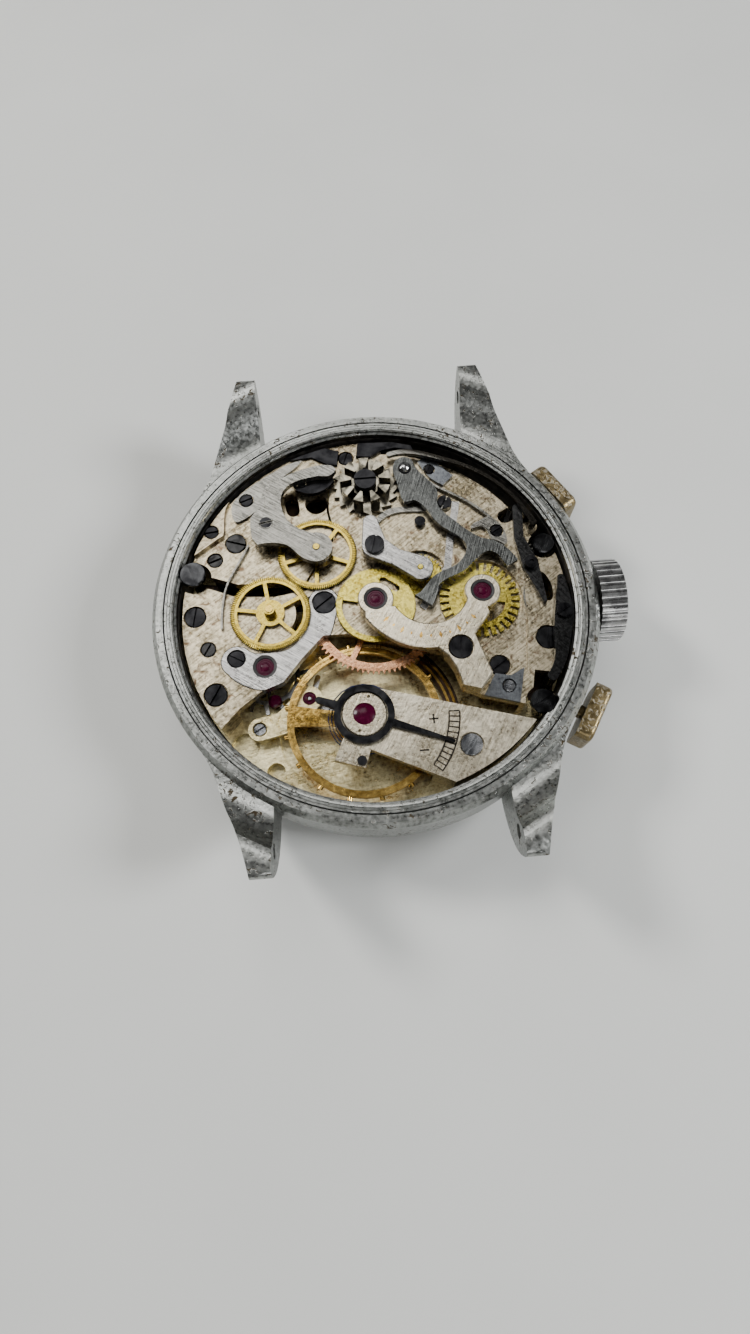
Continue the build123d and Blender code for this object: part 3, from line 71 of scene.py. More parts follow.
def add_world():
    """A grey studio: pale at the horizon, dark above it, and brightest overhead."""
    world = bpy.data.worlds.new("studio")
    bpy.context.scene.world = world
    world.use_nodes = True
    tree = world.node_tree
    background = tree.nodes["Background"]
    coord = tree.nodes.new("ShaderNodeTexCoord")
    split = tree.nodes.new("ShaderNodeSeparateXYZ")
    ramp = tree.nodes.new("ShaderNodeValToRGB")
    tree.links.new(coord.outputs["Generated"], split.inputs[0])
    tree.links.new(split.outputs["Z"], ramp.inputs[0])
    tree.links.new(ramp.outputs[0], background.inputs[0])
    horizon, overhead = ramp.color_ramp.elements
    horizon.position, horizon.color = 0.0, (0.20, 0.20, 0.20, 1)
    overhead.position, overhead.color = 1.0, (0.27, 0.272, 0.27, 1)
    ramp.color_ramp.elements.new(0.72).color = (0.045, 0.045, 0.045, 1)
    ramp.color_ramp.elements.new(0.3).color = (0.13, 0.13, 0.13, 1)
    background.inputs[1].default_value = 1.0


def add_floor():
    """A square floor, two metres wide, just clear of the crystal."""
    mesh = bpy.data.meshes.new("floor")
    mesh.from_pydata([(-1, -1, 0), (1, -1, 0), (1, 1, 0), (-1, 1, 0)], [], [(0, 1, 2, 3)])
    floor = bpy.data.objects.new("floor", mesh)
    bpy.context.collection.objects.link(floor)
    floor.location = (0, 0, -0.00002)
    mesh.materials.append(floor_look())


# ---- materials ----
RIM_WALL = (16.66, 16.6)
LEDGE_MIDDLE = 16.44
LEDGE_CORNER = (0.07, 0.13)
LEDGE_LEVEL = (8.66, 8.5)
LEDGE_SHADED = (11.8, 13.8)
GAP_RADII = (13.9, 14.3)
GAP_SHADED = (10.8, 11.8)
TO_PUSHER = (0.64, 0.77)
PAST_COCK = (-6.0, -5.0)
# colour of the painted shade in the case rim's grooves and on its inner wall
RIM_SHADE_PAINT = (0.045, 0.043, 0.04)
# colour of the painted shadow along the upper right of the case wall
GAP_SHADE_PAINT = (0.022, 0.020, 0.017)


class Look:
    """A node material under construction. Coordinates come in millimetres of the piece itself."""

    def __init__(self, name, metallic=1.0):
        self.mat = bpy.data.materials.new(name)
        self.mat.use_nodes = True
        self.tree = self.mat.node_tree
        self.tree.nodes.clear()
        output = self.add("ShaderNodeOutputMaterial")
        self.shader = self.add("ShaderNodeBsdfPrincipled")
        self.shader.inputs["Metallic"].default_value = metallic
        self.link(self.shader.outputs[0], output.inputs[0])
        coord = self.add("ShaderNodeTexCoord")
        scale = self.add("ShaderNodeVectorMath")
        scale.operation = "SCALE"
        scale.inputs["Scale"].default_value = 1000.0
        self.link(coord.outputs["Object"], scale.inputs[0])
        self.mm = scale.outputs[0]

    def add(self, kind):
        return self.tree.nodes.new(kind)

    def link(self, source, target):
        self.tree.links.new(source, target)

    def placed(self, centre=(0, 0), turn=0.0, stretch=(1, 1, 1)):
        """Coordinates moved to a centre, turned about Z and stretched."""
        move = self.add("ShaderNodeMapping")
        move.vector_type = "POINT"
        move.inputs["Location"].default_value = (-centre[0], -centre[1], 0)
        self.link(self.mm, move.inputs[0])
        turned = self.add("ShaderNodeMapping")
        turned.inputs["Rotation"].default_value = (0, 0, -radians(turn))
        self.link(move.outputs[0], turned.inputs[0])
        stretched = self.add("ShaderNodeVectorMath")
        stretched.operation = "MULTIPLY"
        stretched.inputs[1].default_value = stretch
        self.link(turned.outputs[0], stretched.inputs[0])
        return stretched.outputs[0]

    def noise(self, scale, detail=2.0, vector=None, distortion=0.0):
        node = self.add("ShaderNodeTexNoise")
        node.inputs["Scale"].default_value = scale
        node.inputs["Detail"].default_value = detail
        node.inputs["Distortion"].default_value = distortion
        self.link(vector or self.mm, node.inputs["Vector"])
        return node.outputs["Fac"]

    def polar(self, centre, turns=1.0, spread=1.0):
        """Coordinates (radius, angle, height) round an axis, for circular or radial grain."""
        x, y, z = self.parts(self.placed(centre))
        angle = self.math("ARCTAN2", y, x)
        join = self.add("ShaderNodeCombineXYZ")
        self.link(self.math("MULTIPLY", self.radius(x, y), spread), join.inputs[0])
        self.link(self.math("MULTIPLY", angle, turns), join.inputs[1])
        self.link(z, join.inputs[2])
        return join.outputs[0]

    def parts(self, vector):
        """The three components of a vector."""
        split = self.add("ShaderNodeSeparateXYZ")
        self.link(vector, split.inputs[0])
        return split.outputs["X"], split.outputs["Y"], split.outputs["Z"]

    def radius(self, x, y):
        """The distance from the axis."""
        across = self.math("POWER", x, 2.0)
        along = self.math("POWER", y, 2.0)
        return self.math("SQRT", self.math("ADD", across, along), 0.0)

    def toward_pusher(self, x, y):
        """How far a point lies from the centre towards the upper right of the case."""
        across = self.math("MULTIPLY", x, TO_PUSHER[0])
        return self.math("ADD", across, self.math("MULTIPLY", y, TO_PUSHER[1]))

    def rim_painted_shade(self):
        """Painted shade: 1 in the corners of the ledge and on the inner wall of the case's rim, and all
        over them towards the upper right, 0 elsewhere.
        """
        x, y, z = self.parts(self.mm)
        radius = self.radius(x, y)
        inside = self.span(radius, *RIM_WALL)
        off_ledge = self.math("ABSOLUTE", self.math("SUBTRACT", radius, LEDGE_MIDDLE), 0.0)
        corner = self.span(off_ledge, *LEDGE_CORNER)
        shaded = self.span(self.toward_pusher(x, y), *LEDGE_SHADED)
        corner = self.math("MAXIMUM", corner, shaded)
        low = self.span(z, *LEDGE_LEVEL)
        return self.math("MULTIPLY", self.math("MULTIPLY", inside, corner), low)

    def wall_shadow(self):
        """Painted shadow: 1 in the gap along the upper right of the case wall, 0 elsewhere."""
        x, y, _ = self.parts(self.mm)
        near_wall = self.span(self.radius(x, y), *GAP_RADII)
        shaded = self.span(self.toward_pusher(x, y), *GAP_SHADED)
        return self.math("MULTIPLY", near_wall, shaded)

    def math(self, operation, first, second, clamp=False):
        """A calculation on two values, each a number or a socket."""
        node = self.add("ShaderNodeMath")
        node.operation = operation
        node.use_clamp = clamp
        for socket, value in zip(node.inputs, (first, second)):
            if isinstance(value, (int, float)):
                socket.default_value = value
            else:
                self.link(value, socket)
        return node.outputs[0]

    def span(self, value, low, high, to_low=0.0, to_high=1.0):
        """A value mapped from low and high to to_low and to_high, and held between them."""
        node = self.add("ShaderNodeMapRange")
        for index, number in enumerate((low, high, to_low, to_high), start=1):
            node.inputs[index].default_value = number
        self.link(value, node.inputs[0])
        return node.outputs[0]

    def blend(self, factor, first, second):
        """A mix of two colours, each a tuple or a socket: the first at 0, the second at 1."""
        node = self.add("ShaderNodeMix")
        node.data_type = "RGBA"
        self.link(factor, node.inputs[0])
        for socket, value in ((node.inputs[6], first), (node.inputs[7], second)):
            if isinstance(value, tuple):
                socket.default_value = (*value, 1.0)
            else:
                self.link(value, socket)
        return node.outputs[2]

    def colour(self, value):
        self.link(value, self.shader.inputs["Base Color"])

    def rough(self, value):
        self.link(value, self.shader.inputs["Roughness"])

    def bump(self, height, strength, depth):
        """Surface relief, with its depth in millimetres."""
        node = self.add("ShaderNodeBump")
        node.inputs["Strength"].default_value = strength
        node.inputs["Distance"].default_value = depth * MM
        self.link(height, node.inputs["Height"])
        self.link(node.outputs[0], self.shader.inputs["Normal"])

    def done(self):
        return self.mat


def grained(
    name, light, dark, rough,
    grain=3.6, turn=35.0, lines=0.5, contrast=0.22, depth=0.02, stain=None, shadow=False,
):
    """Metal with a matt grain, brushed lines and slow patches of tone; stained, or given painted shadow by
    the case wall, if wanted.
    """
    look = Look(name)
    fine = look.noise(grain, 4.0)
    speck = look.noise(grain * 2.3, 2.0)
    lined = look.noise(1.6, 3.0, look.placed(turn=turn, stretch=(0.35, 6.0, 1.0)))
    slow = look.noise(0.3, 3.0, distortion=0.4)
    tone = look.math("ADD", look.math("MULTIPLY", fine, 0.8), look.math("MULTIPLY", lined, lines))
    tone = look.math("ADD", tone, look.math("MULTIPLY", speck, 0.35))
    tone = look.math("ADD", tone, look.math("MULTIPLY", slow, 0.7))
    centre = 0.5 * (0.8 + lines + 0.35 + 0.7)
    base = look.blend(look.span(tone, centre - contrast, centre + contrast), dark, light)
    if stain:
        mark = look.span(look.noise(1.3, 6.0, distortion=0.9), 0.58, 0.70)
        base = look.blend(mark, base, stain)
    if shadow:
        # painted shadow where the case wall shades the piece
        base = look.blend(look.wall_shadow(), base, GAP_SHADE_PAINT)
    look.colour(base)
    look.rough(look.span(look.math("ADD", fine, slow), 0.7, 1.3, rough[0], rough[1]))
    height = look.math("ADD", fine, look.math("MULTIPLY", lined, lines))
    look.bump(height, 0.55, depth)
    return look.done()


def polished(name, light, dark, rough, marks=0.15, beyond_cock=None):
    """Smooth steel with scratches and finger haze, in two other tones beyond the balance cock if given."""
    look = Look(name)
    haze = look.noise(0.9, 4.0, distortion=0.6)
    scratch = look.noise(2.4, 4.0, look.placed(turn=62, stretch=(0.5, 7.0, 1.0)))
    base = look.blend(look.span(haze, 0.38, 0.62), dark, light)
    if beyond_cock:
        _, y, _ = look.parts(look.mm)
        far_light, far_dark = beyond_cock
        far = look.blend(look.span(haze, 0.38, 0.62), far_dark, far_light)
        base = look.blend(look.span(y, *PAST_COCK), base, far)
    look.colour(base)
    look.rough(look.span(look.math("ADD", haze, scratch), 0.7, 1.3, rough[0], rough[1]))
    look.bump(scratch, marks, 0.012)
    return look.done()


def case_metal(name, light, dark, rough, pits, under, grooves=False):
    """Worn plating: satin, pitted, with dark specks and the base metal showing through, and painted shade
    in the rim's grooves if grooves is set.
    """
    look = Look(name)
    fine = look.noise(3.4, 5.0)
    slow = look.noise(0.22, 4.0, distortion=0.6)
    rings = look.noise(1.0, 3.0, look.polar((0, 0), 1.6, 5.0))
    specks = look.noise(2.3, 6.0, distortion=1.2)
    eaten = look.span(look.math("ADD", specks, look.math("MULTIPLY", slow, 0.35)), pits, pits + 0.08)
    tone = look.math("ADD", look.math("MULTIPLY", fine, 0.8), look.math("MULTIPLY", rings, 0.4))
    tone = look.math("ADD", tone, look.math("MULTIPLY", slow, 0.6))
    base = look.blend(look.span(tone, 0.68, 1.14), dark, light)
    base = look.blend(eaten, base, under)
    if grooves:
        # grooves paints shade into the rim's corners and inner wall, darkest towards the upper right
        base = look.blend(look.rim_painted_shade(), base, RIM_SHADE_PAINT)
    look.colour(base)
    satin = look.span(fine, 0.3, 0.7, rough[0], rough[1])
    look.rough(look.math("ADD", satin, look.math("MULTIPLY", eaten, 0.25), True))
    height = look.math("SUBTRACT", look.math("MULTIPLY", fine, 0.7), look.math("MULTIPLY", eaten, 0.9))
    look.bump(height, 0.7, 0.045)
    return look.done()


def toothed_metal(name, centre, teeth, rim, light, dark, rough):
    """Brass with painted shade in the gaps between the teeth, which start at the radius rim, and a painted
    shade ring along the tooth root there.
    """
    look = Look(name)
    radius, angle, _ = look.parts(look.polar(centre))
    wave = look.math("SINE", look.math("MULTIPLY", angle, float(teeth)), 0.0)
    band = look.span(radius, rim, rim + 0.04)
    cut = look.math("MULTIPLY", look.span(wave, -0.2, 0.5), band)
    rising = look.span(radius, rim - 0.05, rim - 0.01)
    falling = look.span(radius, rim + 0.05, rim + 0.01)
    ring = look.math("MULTIPLY", rising, falling)
    fine = look.noise(4.0, 4.0)
    base = look.blend(look.span(fine, 0.3, 0.7), dark, light)
    red, green, blue = dark
    # painted shade in the gaps between the teeth
    base = look.blend(look.math("MULTIPLY", cut, 0.9), base, (red * 0.2, green * 0.17, blue * 0.15))
    # painted shade along the tooth root
    base = look.blend(look.math("MULTIPLY", ring, 0.6), base, (red * 0.4, green * 0.35, blue * 0.3))
    look.colour(base)
    look.rough(look.span(fine, 0.3, 0.7, rough[0], rough[1]))
    look.bump(look.math("SUBTRACT", look.math("MULTIPLY", fine, 0.5), cut), 0.6, 0.03)
    return look.done()


def ruby():
    """A deep, faintly clouded ruby."""
    look = Look("ruby_look", 0.0)
    cloud = look.noise(2.5, 2.0)
    look.colour(look.blend(cloud, (0.012, 0.0, 0.004), (0.075, 0.0, 0.022)))
    look.rough(look.span(cloud, 0.3, 0.7, 0.16, 0.3))
    look.shader.inputs["Specular IOR Level"].default_value = 0.25
    look.shader.inputs["IOR"].default_value = 1.35
    look.shader.inputs["Coat Weight"].default_value = 0.04
    look.shader.inputs["Coat Roughness"].default_value = 0.05
    return look.done()


def dead_black():
    """The bevel of a jewel's seat, painted dead black with no reflection, as painted shade."""
    look = Look("jewel_seat_look", 0.0)
    cloud = look.noise(3.0, 3.0)
    look.colour(look.blend(cloud, (0.004, 0.004, 0.005), (0.016, 0.014, 0.014)))
    look.rough(look.span(cloud, 0.3, 0.7, 0.35, 0.55))
    look.bump(cloud, 0.2, 0.01)
    return look.done()


def clear_plastic():
    """The acrylic crystal, slightly hazed and scratched."""
    look = Look("crystal_look", 0.0)
    haze = look.noise(1.2, 3.0)
    scratch = look.noise(4.0, 4.0, look.placed(turn=20, stretch=(0.3, 8.0, 1.0)))
    look.colour(look.blend(haze, (0.90, 0.92, 0.90), (0.97, 0.97, 0.95)))
    look.rough(look.span(look.math("ADD", haze, scratch), 0.7, 1.3, 0.03, 0.16))
    look.shader.inputs["IOR"].default_value = 1.49
    look.shader.inputs["Transmission Weight"].default_value = 0.95
    look.bump(scratch, 0.1, 0.01)
    return look.done()


def shade(name, light, dark):
    """Dark clouded metal: painted shade at the bottom of a gap, and also the ink of engraved marks."""
    look = Look(name, 0.6)
    cloud = look.noise(1.4, 4.0, distortion=0.7)
    look.colour(look.blend(look.span(cloud, 0.35, 0.65), dark, light))
    look.rough(look.span(cloud, 0.3, 0.7, 0.3, 0.55))
    look.bump(cloud, 0.3, 0.03)
    return look.done()


def floor_look():
    """A plain pale studio floor."""
    look = Look("floor_look", 0.0)
    soft = look.noise(0.05, 4.0)
    look.colour(look.blend(soft, (0.60, 0.61, 0.59), (0.66, 0.67, 0.65)))
    look.rough(look.span(soft, 0.3, 0.7, 0.6, 0.8))
    look.bump(look.noise(4.0, 3.0), 0.15, 0.02)
    return look.done()


OLIVE_GOLD = (0.55, 0.42, 0.09)
DEEP_GOLD = (0.22, 0.155, 0.022)
SECONDS = (-8.35, 0.0)
COUPLING = (-4.36, 4.92)
WHEEL_TEETH = 120
TOOTH_ROOT = 2.86

nickel = grained(
    "nickel_plate_look", (0.62, 0.54, 0.385), (0.17, 0.14, 0.085), (0.24, 0.40),
    grain=3.4, turn=35.0, lines=0.7, contrast=0.17, depth=0.05, stain=(0.15, 0.10, 0.06),
)
bright_nickel = grained(
    "bright_nickel_look", (0.90, 0.82, 0.64), (0.44, 0.38, 0.27), (0.24, 0.38),
    grain=4.5, turn=60.0, lines=0.7, contrast=0.22, depth=0.03,
)
gilt_plate = grained(
    "gilt_plate_look", (0.98, 0.88, 0.54), (0.50, 0.40, 0.19), (0.24, 0.42),
    grain=3.5, turn=10.0, lines=0.4, contrast=0.20, depth=0.04,
)
light_steel = grained(
    "light_steel_look", (0.58, 0.57, 0.55), (0.24, 0.235, 0.225), (0.24, 0.36),
    grain=4.0, turn=-35.0, lines=1.6, contrast=0.30, depth=0.03,
)
steel = grained(
    "grained_steel_look", (0.36, 0.35, 0.315), (0.12, 0.118, 0.105), (0.24, 0.36),
    grain=4.0, turn=-35.0, lines=1.8, contrast=0.30, depth=0.035,
)
# the springs get painted shadow near the upper right of the case wall
spring_steel = grained(
    "spring_steel_look", (0.36, 0.35, 0.315), (0.12, 0.118, 0.105), (0.24, 0.36),
    grain=4.0, turn=-35.0, lines=1.8, contrast=0.30, depth=0.035, shadow=True,
)
lever_steel = grained(
    "lever_steel_look", (0.125, 0.13, 0.125), (0.032, 0.033, 0.032), (0.20, 0.32),
    grain=3.6, turn=70.0, lines=1.4, contrast=0.28, depth=0.03,
)
dark_steel = grained(
    "dark_steel_look", (0.06, 0.06, 0.06), (0.015, 0.015, 0.015), (0.22, 0.34),
    grain=4.0, turn=-50.0, lines=1.1, contrast=0.28,
)
blue_steel = grained(
    "blue_steel_look", (0.20, 0.215, 0.23), (0.09, 0.095, 0.105), (0.26, 0.38),
    grain=4.0, turn=80.0, lines=0.5,
)
brass = grained(
    "brass_look", (0.74, 0.54, 0.15), (0.30, 0.20, 0.04), (0.18, 0.32), grain=4.0, turn=35.0, lines=0.2
)
gilt = grained(
    "gilt_look", (0.78, 0.66, 0.15), (0.28, 0.215, 0.028), (0.24, 0.38),
    grain=4.2, turn=20.0, lines=0.1, contrast=0.14, depth=0.05,
)
rose = grained(
    "rose_look", (0.80, 0.44, 0.25), (0.34, 0.15, 0.075), (0.18, 0.32), grain=4.0, turn=35.0, lines=0.3
)
gold = grained(
    "balance_gold_look", (0.88, 0.60, 0.18), (0.42, 0.24, 0.05), (0.12, 0.26),
    grain=3.0, turn=35.0, lines=0.2,
)
dial_look = grained(
    "dial_look", (0.86, 0.85, 0.80), (0.72, 0.70, 0.64), (0.42, 0.55), grain=6.0, turn=0.0, lines=0.05
)
black_steel = polished("screw_look", (0.030, 0.030, 0.032), (0.008, 0.008, 0.009), (0.25, 0.42), 0.3)
grey_screw = polished("grey_screw_look", (0.05, 0.051, 0.053), (0.012, 0.012, 0.013), (0.16, 0.30), 0.3)
fixing_screw = polished(
    "fixing_screw_look", (0.46, 0.47, 0.49), (0.13, 0.135, 0.145), (0.16, 0.30), 0.3,
    beyond_cock=((0.035, 0.035, 0.035), (0.008, 0.008, 0.008)),
)
blued = polished("blued_look", (0.05, 0.08, 0.22), (0.02, 0.03, 0.10), (0.12, 0.22))
polished_steel = polished("polished_steel_look", (0.66, 0.66, 0.65), (0.36, 0.36, 0.36), (0.10, 0.24))
wheel_steel = polished("wheel_steel_look", (0.24, 0.22, 0.17), (0.03, 0.028, 0.022), (0.10, 0.24), 0.5)
# case_look carries painted shade in the rim's grooves (grooves=True)
case_look = case_metal(
    "case_look", (0.46, 0.47, 0.45), (0.15, 0.155, 0.145), (0.24, 0.42),
    pits=0.78, under=(0.07, 0.055, 0.035), grooves=True,
)
pusher_look = case_metal(
    "pusher_look", (0.30, 0.235, 0.12), (0.11, 0.08, 0.035), (0.28, 0.46),
    pits=0.70, under=(0.36, 0.32, 0.24),
)
driving_look = toothed_metal(
    "driving_wheel_look", SECONDS, WHEEL_TEETH, TOOTH_ROOT, OLIVE_GOLD, DEEP_GOLD, (0.16, 0.30)
)
coupling_look = toothed_metal(
    "coupling_wheel_look", COUPLING, WHEEL_TEETH, TOOTH_ROOT, OLIVE_GOLD, DEEP_GOLD, (0.16, 0.30)
)
# gap_shade and wall_shade are painted shade; ink is the engraving's own colour
gap_shade = shade("gap_shade_look", (0.085, 0.05, 0.03), (0.015, 0.01, 0.008))
wall_shade = shade("wall_shade_look", (0.05, 0.045, 0.04), (0.01, 0.01, 0.01))
ink = shade("engraving_look", (0.035, 0.026, 0.018), (0.010, 0.008, 0.006))
# seat_look is painted shade on the jewels' bevels
seat_look = dead_black()
ruby_look = ruby()
crystal_look = clear_plastic()

LOOKS = {
    "case_middle": case_look,
    "bezel": case_look,
    "crystal": crystal_look,
    "case_tubes": steel,
    "crown": polished_steel,
    "winding_stem": steel,
    "keyless_pinions": steel,
    "start_pusher": pusher_look,
    "reset_pusher": pusher_look,
    "dial": dial_look,
    "dial_markers": gold,
    "main_plate": gilt_plate,
    "upper_bridge": nickel,
    "lower_bridge": nickel,
    "train_bridge": light_steel,
    "barrel_bridge": nickel,
    "pallet_bridge": gilt_plate,
    "balance_cock": bright_nickel,
    "cap_setting": bright_nickel,
    "regulator": black_steel,
    "chrono_bridge": bright_nickel,
    "steel_cover": blue_steel,
    "bridge_screws": black_steel,
    "bright_screws": fixing_screw,
    "case_screws": grey_screw,
    "chrono_studs": black_steel,
    "jewels": ruby_look,
    "springs": spring_steel,
    "hairspring": blued,
    "barrel": gilt,
    "ratchet_wheel": steel,
    "crown_wheel": steel,
    "center_wheel": rose,
    "third_wheel": brass,
    "fourth_wheel": brass,
    "escape_wheel": polished_steel,
    "pallet_fork": polished_steel,
    "balance_wheel": gold,
    "balance_screws": gold,
    "balance_staff": polished_steel,
    "driving_wheel": driving_look,
    "coupling_wheel": coupling_look,
    "coupling_lever": steel,
    "chrono_runner": gilt,
    "minute_counter": gilt,
    "sliding_gear_wheel": gilt,
    "sliding_gear_lever": light_steel,
    "column_wheel": wheel_steel,
    "hammer": lever_steel,
    "brake_lever": black_steel,
    "operating_lever": dark_steel,
    "reset_lever": dark_steel,
    "cannon_pinion": polished_steel,
    "minute_wheel": brass,
    "hour_wheel": brass,
    "hour_hand": gold,
    "minute_hand": gold,
    "chrono_hand": blued,
    "seconds_hand": blued,
    "counter_hand": blued,
}


def dress(node, look):
    """Give every material slot of a CAD node the same finished look."""
    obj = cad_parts[node]
    if not obj.material_slots:
        obj.data.materials.append(look)
    for slot in obj.material_slots:
        slot.material = look


for node, look in LOOKS.items():
    dress(node, look)


# ---- details that the CAD leaves out ----
CENTRE = (0.0, 0.0)
BALANCE = (-1.57, -8.97)
COUNTER = (8.35, 0.0)
ESCAPE = (-8.95, -4.35)
PALLET_STONE = (-8.5, -6.62)
HAMMER_PIVOT = (3.4, 12.0)
LEVER_PIVOT = (-8.29, 7.41)
COCK_TOP = 8.35
BRIDGE_TOP = 7.85
CHRONO_TOP = 9.45
MARK = (-0.02, 0.008)
GAP_FLOOR = (5.28, 5.36)


def piece(name, build, look, body="case"):
    """One finished object from a bmesh, on its body and in its material slot."""
    bmesh.ops.recalc_face_normals(build, faces=build.faces)
    mesh = bpy.data.meshes.new(name)
    build.to_mesh(mesh)
    build.free()
    mesh.materials.append(look)
    obj = bpy.data.objects.new(name, mesh)
    bpy.context.collection.objects.link(obj)
    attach(obj, body)
    return obj


def add_prism(build, outline, low, high, taper=0.0):
    """A flat outline in millimetres made solid between two heights, its top drawn in by taper."""
    cx = sum(x for x, _ in outline) / len(outline)
    cy = sum(y for _, y in outline) / len(outline)
    bottom = [build.verts.new((x * MM, y * MM, low * MM)) for x, y in outline]
    top = []
    for x, y in outline:
        reach = max(hypot(x - cx, y - cy), 1e-6)
        draw = 1 - taper / reach
        drawn_x, drawn_y = cx + (x - cx) * draw, cy + (y - cy) * draw
        top.append(build.verts.new((drawn_x * MM, drawn_y * MM, high * MM)))
    build.faces.new(bottom)
    build.faces.new(top)
    for one in range(len(outline)):
        two = (one + 1) % len(outline)
        build.faces.new((bottom[one], bottom[two], top[two], top[one]))


def add_lathe(build, centre, profile, steps=48):
    """A ring turned from a closed profile of (radius, height) in millimetres."""
    rows = []
    for step in range(steps):
        angle = 2 * pi * step / steps
        row = []
        for radius, height in profile:
            x, y = centre[0] + radius * cos(angle), centre[1] + radius * sin(angle)
            row.append(build.verts.new((x * MM, y * MM, height * MM)))
        rows.append(row)
    for row, after in zip(rows, rows[1:] + rows[:1]):
        for one in range(len(profile)):
            two = (one + 1) % len(profile)
            build.faces.new((row[one], row[two], after[two], after[one]))


def add_arc(build, centre, radius, width, start, end, low, high):
    """A strip bent round an axis between two angles in degrees."""
    steps = max(int(abs(end - start) / 3), 2)
    angles = [start + (end - start) * step / steps for step in range(steps + 1)]
    outer, inner = radius + width / 2, radius - width / 2
    for one, two in zip(angles, angles[1:]):
        corners = [(outer, one), (outer, two), (inner, two), (inner, one)]
        add_prism(build, [about(centre, r, angle) for r, angle in corners], low, high)


def add_stroke(build, start, end, width, low, high):
    """A straight bar between two points."""
    along = atan2(end[1] - start[1], end[0] - start[0])
    side = (-sin(along) * width / 2, cos(along) * width / 2)
    corners = []
    for (x, y), sign in ((start, 1), (end, 1), (end, -1), (start, -1)):
        corners.append((x + sign * side[0], y + sign * side[1]))
    add_prism(build, corners, low, high)


def add_band(build, path, width, low, high):
    """A strip of even width along a bent path."""
    left, right = [], []
    for index, (x, y) in enumerate(path):
        before, after = path[max(index - 1, 0)], path[min(index + 1, len(path) - 1)]
        along = atan2(after[1] - before[1], after[0] - before[0])
        side = (-sin(along) * width / 2, cos(along) * width / 2)
        left.append((x + side[0], y + side[1]))
        right.append((x - side[0], y - side[1]))
    add_prism(build, left + right[::-1], low, high)


def about(centre, radius, angle):
    """The point at a radius and an angle in degrees round a centre."""
    turn = radians(angle)
    return centre[0] + radius * cos(turn), centre[1] + radius * sin(turn)


def regulator_scale():
    """Two arcs with cross ticks, and a plus and a minus, marked on the balance cock."""
    build = bmesh.new()
    low, high = (COCK_TOP + offset for offset in MARK)
    inner, outer, first, last, ticks = 6.35, 7.15, -2, -41, 12
    for radius in (inner, outer):
        add_arc(build, BALANCE, radius, 0.12, first, last, low, high)
    for tick in range(ticks):
        angle = first + tick * (last - first) / (ticks - 1)
        add_stroke(build, about(BALANCE, inner, angle), about(BALANCE, outer, angle), 0.11, low, high)
    reach, width = 0.36, 0.13
    for angle, sign in ((-8, "plus"), (-36, "minus")):
        x, y = about(BALANCE, 5.2, angle)
        add_stroke(build, (x - reach, y), (x + reach, y), width, low, high)
        if sign == "plus":
            add_stroke(build, (x, y - reach), (x, y + reach), width, low, high)
    piece("regulator_scale", build, ink)


def bridge_ornament():
    """A row of small gilt lozenges along the curve of the chronograph bridge, large and small in turn."""
    build = bmesh.new()
    low, high = (CHRONO_TOP + offset for offset in MARK)
    curve_centre, curve_radius = (4.2, 1.15), 4.6
    for mark in range(11):
        angle = -140 + mark * 9.4
        long, short = (0.32, 0.14) if mark % 2 == 0 else (0.16, 0.1)
        middle = about(curve_centre, curve_radius, angle)
        corners = [
            about(middle, reach, angle + turn)
            for reach, turn in ((long, 0), (short, 90), (long, 180), (short, 270))
        ]
        add_prism(build, corners, low, high)
    piece("bridge_ornament", build, gold)


def jewel_rings():
    """The bevelled seat, painted dark as shade, and the polished inner ring round each large jewel."""
    large_jewels = (
        ("centre", CENTRE, CHRONO_TOP),
        ("counter", COUNTER, CHRONO_TOP),
        ("escape", ESCAPE, BRIDGE_TOP),
    )
    for name, centre, top in large_jewels:
        build = bmesh.new()
        add_lathe(build, centre, [
            (0.95, top + 0.01), (0.93, top - 0.12), (0.70, top - 0.12), (0.73, top - 0.02)
        ])
        piece(name + "_jewel_seat", build, seat_look)
        build = bmesh.new()
        for radius in (0.58, 0.42):
            add_lathe(build, centre, [
                (radius, top - 0.13), (radius - 0.03, top - 0.10), (radius - 0.06, top - 0.13)
            ])
        add_lathe(build, centre, [
            (0.005, top - 0.115), (0.26, top - 0.135), (0.3, top - 0.2), (0.005, top - 0.2)
        ])
        piece(name + "_jewel_rings", build, ruby_look)


def gap_shade_floors():
    """Dark floors at the bottom of the gaps between the bridges, painted shade."""
    build = bmesh.new()
    add_prism(build, [(-14.3, 4.3), (-5.0, 3.0), (-4.9, 1.2), (-9.0, 1.0), (-14.6, 2.8)], *GAP_FLOOR)
    add_prism(build, [(-7.2, 8.4), (-3.0, 8.4), (-3.0, 11.4), (-7.2, 11.4)], *GAP_FLOOR)
    add_prism(build, [(11.4, -6.3), (13.7, -6.3), (13.4, -8.0), (11.5, -8.0)], *GAP_FLOOR)
    piece("gap_shade_floors", build, gap_shade)


def edge_gap_shade_floor():
    """The dark floor along the upper right of the case wall, painted shade."""
    build = bmesh.new()
    outer, inner, first, stride = 15.45, 13.9, 12, 4.2
    for step in range(18):
        start, end = first + step * stride, first + (step + 1) * stride
        corners = [(outer, start), (outer, end), (inner, end), (inner, start)]
        add_prism(build, [about(CENTRE, r, angle) for r, angle in corners], *GAP_FLOOR)
    piece("edge_gap_shade_floor", build, wall_shade)


def wall_shade_ring():
    """A thin dark ring along the inside of the case wall, painted shade on the wall."""
    build = bmesh.new()
    add_lathe(build, CENTRE, [(15.64, 5.4), (15.64, 8.1), (15.6, 8.1), (15.57, 5.4)], 160)
    piece("wall_shade_ring", build, wall_shade)


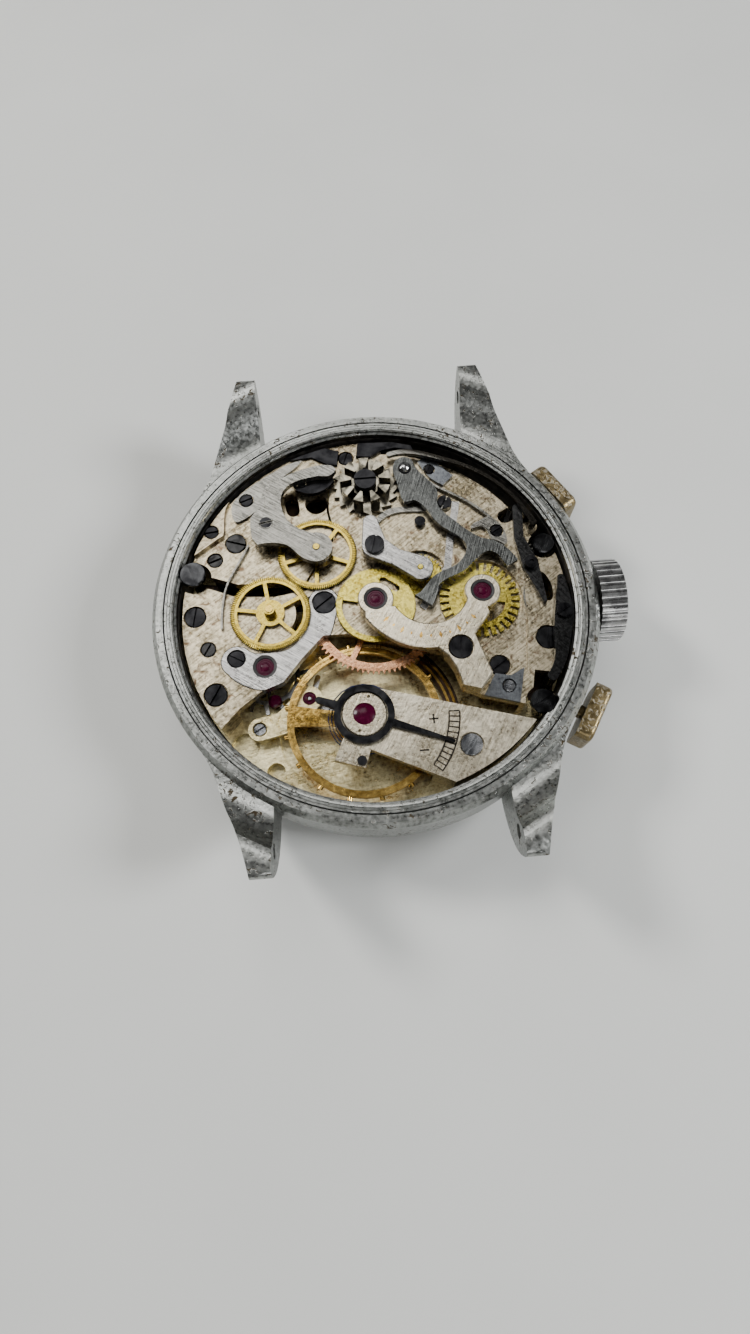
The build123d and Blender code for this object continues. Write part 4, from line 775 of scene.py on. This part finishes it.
def banking_stone():
    """The red stone that shows beside the pallet bridge."""
    build = bmesh.new()
    profile = [(0.02, 6.16), (0.34, 6.12), (0.52, 5.98), (0.55, 5.7), (0.02, 5.7)]
    add_lathe(build, PALLET_STONE, profile, 32)
    piece("banking_stone", build, ruby_look)


def edge_plates():
    """The two dark plates along the upper edge, by the column wheel."""
    build = bmesh.new()
    left = [
        (-6.2, 14.0), (-4.4, 14.15), (-3.0, 13.3), (-2.2, 13.2), (-2.0, 14.6), (-3.2, 15.0), (-5.2, 14.4),
    ]
    add_prism(build, left, 7.86, 8.1, 0.05)
    right = [
        (-0.6, 13.9), (0.6, 13.75), (1.6, 14.3), (2.9, 14.5),
        (4.4, 14.1), (4.2, 14.6), (2.6, 15.1), (-0.4, 15.2),
    ]
    add_prism(build, right, 7.86, 8.15, 0.05)
    piece("edge_plates", build, black_steel)


def hammer_pivot_cap():
    """The bright domed end of the hammer's pivot."""
    build = bmesh.new()
    profile = [(0.01, 9.12), (0.2, 9.09), (0.38, 8.98), (0.46, 8.84), (0.46, 8.8), (0.01, 8.8)]
    add_lathe(build, HAMMER_PIVOT, profile, 32)
    piece("hammer_pivot_cap", build, polished_steel)


def well_rings():
    """The stepped edge of the balance's well, seen between the balance and the chronograph bridge: gold
    steps with rings of painted shade beside them.
    """
    low = GAP_FLOOR[0]
    for name, radii, width, high, look in (
        ("well_ring_shade", (6.62, 7.08, 7.5), 0.24, 5.42, gap_shade),
        ("well_ring_bright", (6.84, 7.3), 0.2, 5.5, gold),
    ):
        build = bmesh.new()
        for radius in radii:
            add_arc(build, BALANCE, radius, width, 4, 46, low, high)
        piece(name, build, look)


def rim_step():
    """The bright stepped ring inside the case's rim, with two fine grooves round it."""
    build = bmesh.new()
    profile = [
        (16.5, 8.43), (16.5, 8.975), (16.34, 8.975), (16.31, 8.93), (16.28, 8.975), (16.12, 8.975),
        (16.09, 8.93), (16.06, 8.975), (15.93, 8.95), (15.9, 8.88), (15.9, 8.43),
    ]
    add_lathe(build, CENTRE, profile, 192)
    piece("rim_step", build, case_look)


def coupling_screw_cap():
    """The dark slotted head over the coupling lever's pivot."""
    build = bmesh.new()
    radius, slot, steps = 0.52, 20, 10
    for half in (0, 180):
        turns = [half + slot + step * (180 - slot) / steps for step in range(steps + 1)]
        add_prism(build, [about(LEVER_PIVOT, radius, turn) for turn in turns], 9.3, 9.42, 0.04)
    piece("coupling_screw_cap", build, black_steel, "coupling_lever")


def counter_strip():
    """The thin grey strip under the hammer, from the column wheel's side to the chronograph bridge."""
    build = bmesh.new()
    path = [
        (7.4, 8.9), (7.2, 7.9), (6.65, 6.1), (6.35, 4.4), (6.05, 2.9), (5.2, 1.5), (4.4, 0.4), (3.7, -0.5),
    ]
    add_band(build, path, 0.6, 7.87, 7.97)
    piece("counter_strip", build, light_steel)


regulator_scale()
bridge_ornament()
jewel_rings()
gap_shade_floors()
edge_gap_shade_floor()
wall_shade_ring()
banking_stone()
edge_plates()
hammer_pivot_cap()
coupling_screw_cap()
counter_strip()
well_rings()
rim_step()

add_camera()
add_world()
add_area("key", (-0.24, 0.15, 0.26), (0.08, 0.08), 1.05, (1.0, 0.98, 0.95))
add_area("sheen", (-0.05, 0.20, 0.36), (0.22, 0.14), 0.45, (1.0, 0.99, 0.97))
add_area("fill", (0.26, -0.05, 0.22), (0.09, 0.09), 1.0, (0.98, 0.99, 1.0))
add_area("front", (0.0, -0.30, 0.20), (0.36, 0.10), 0.4)

add_floor()
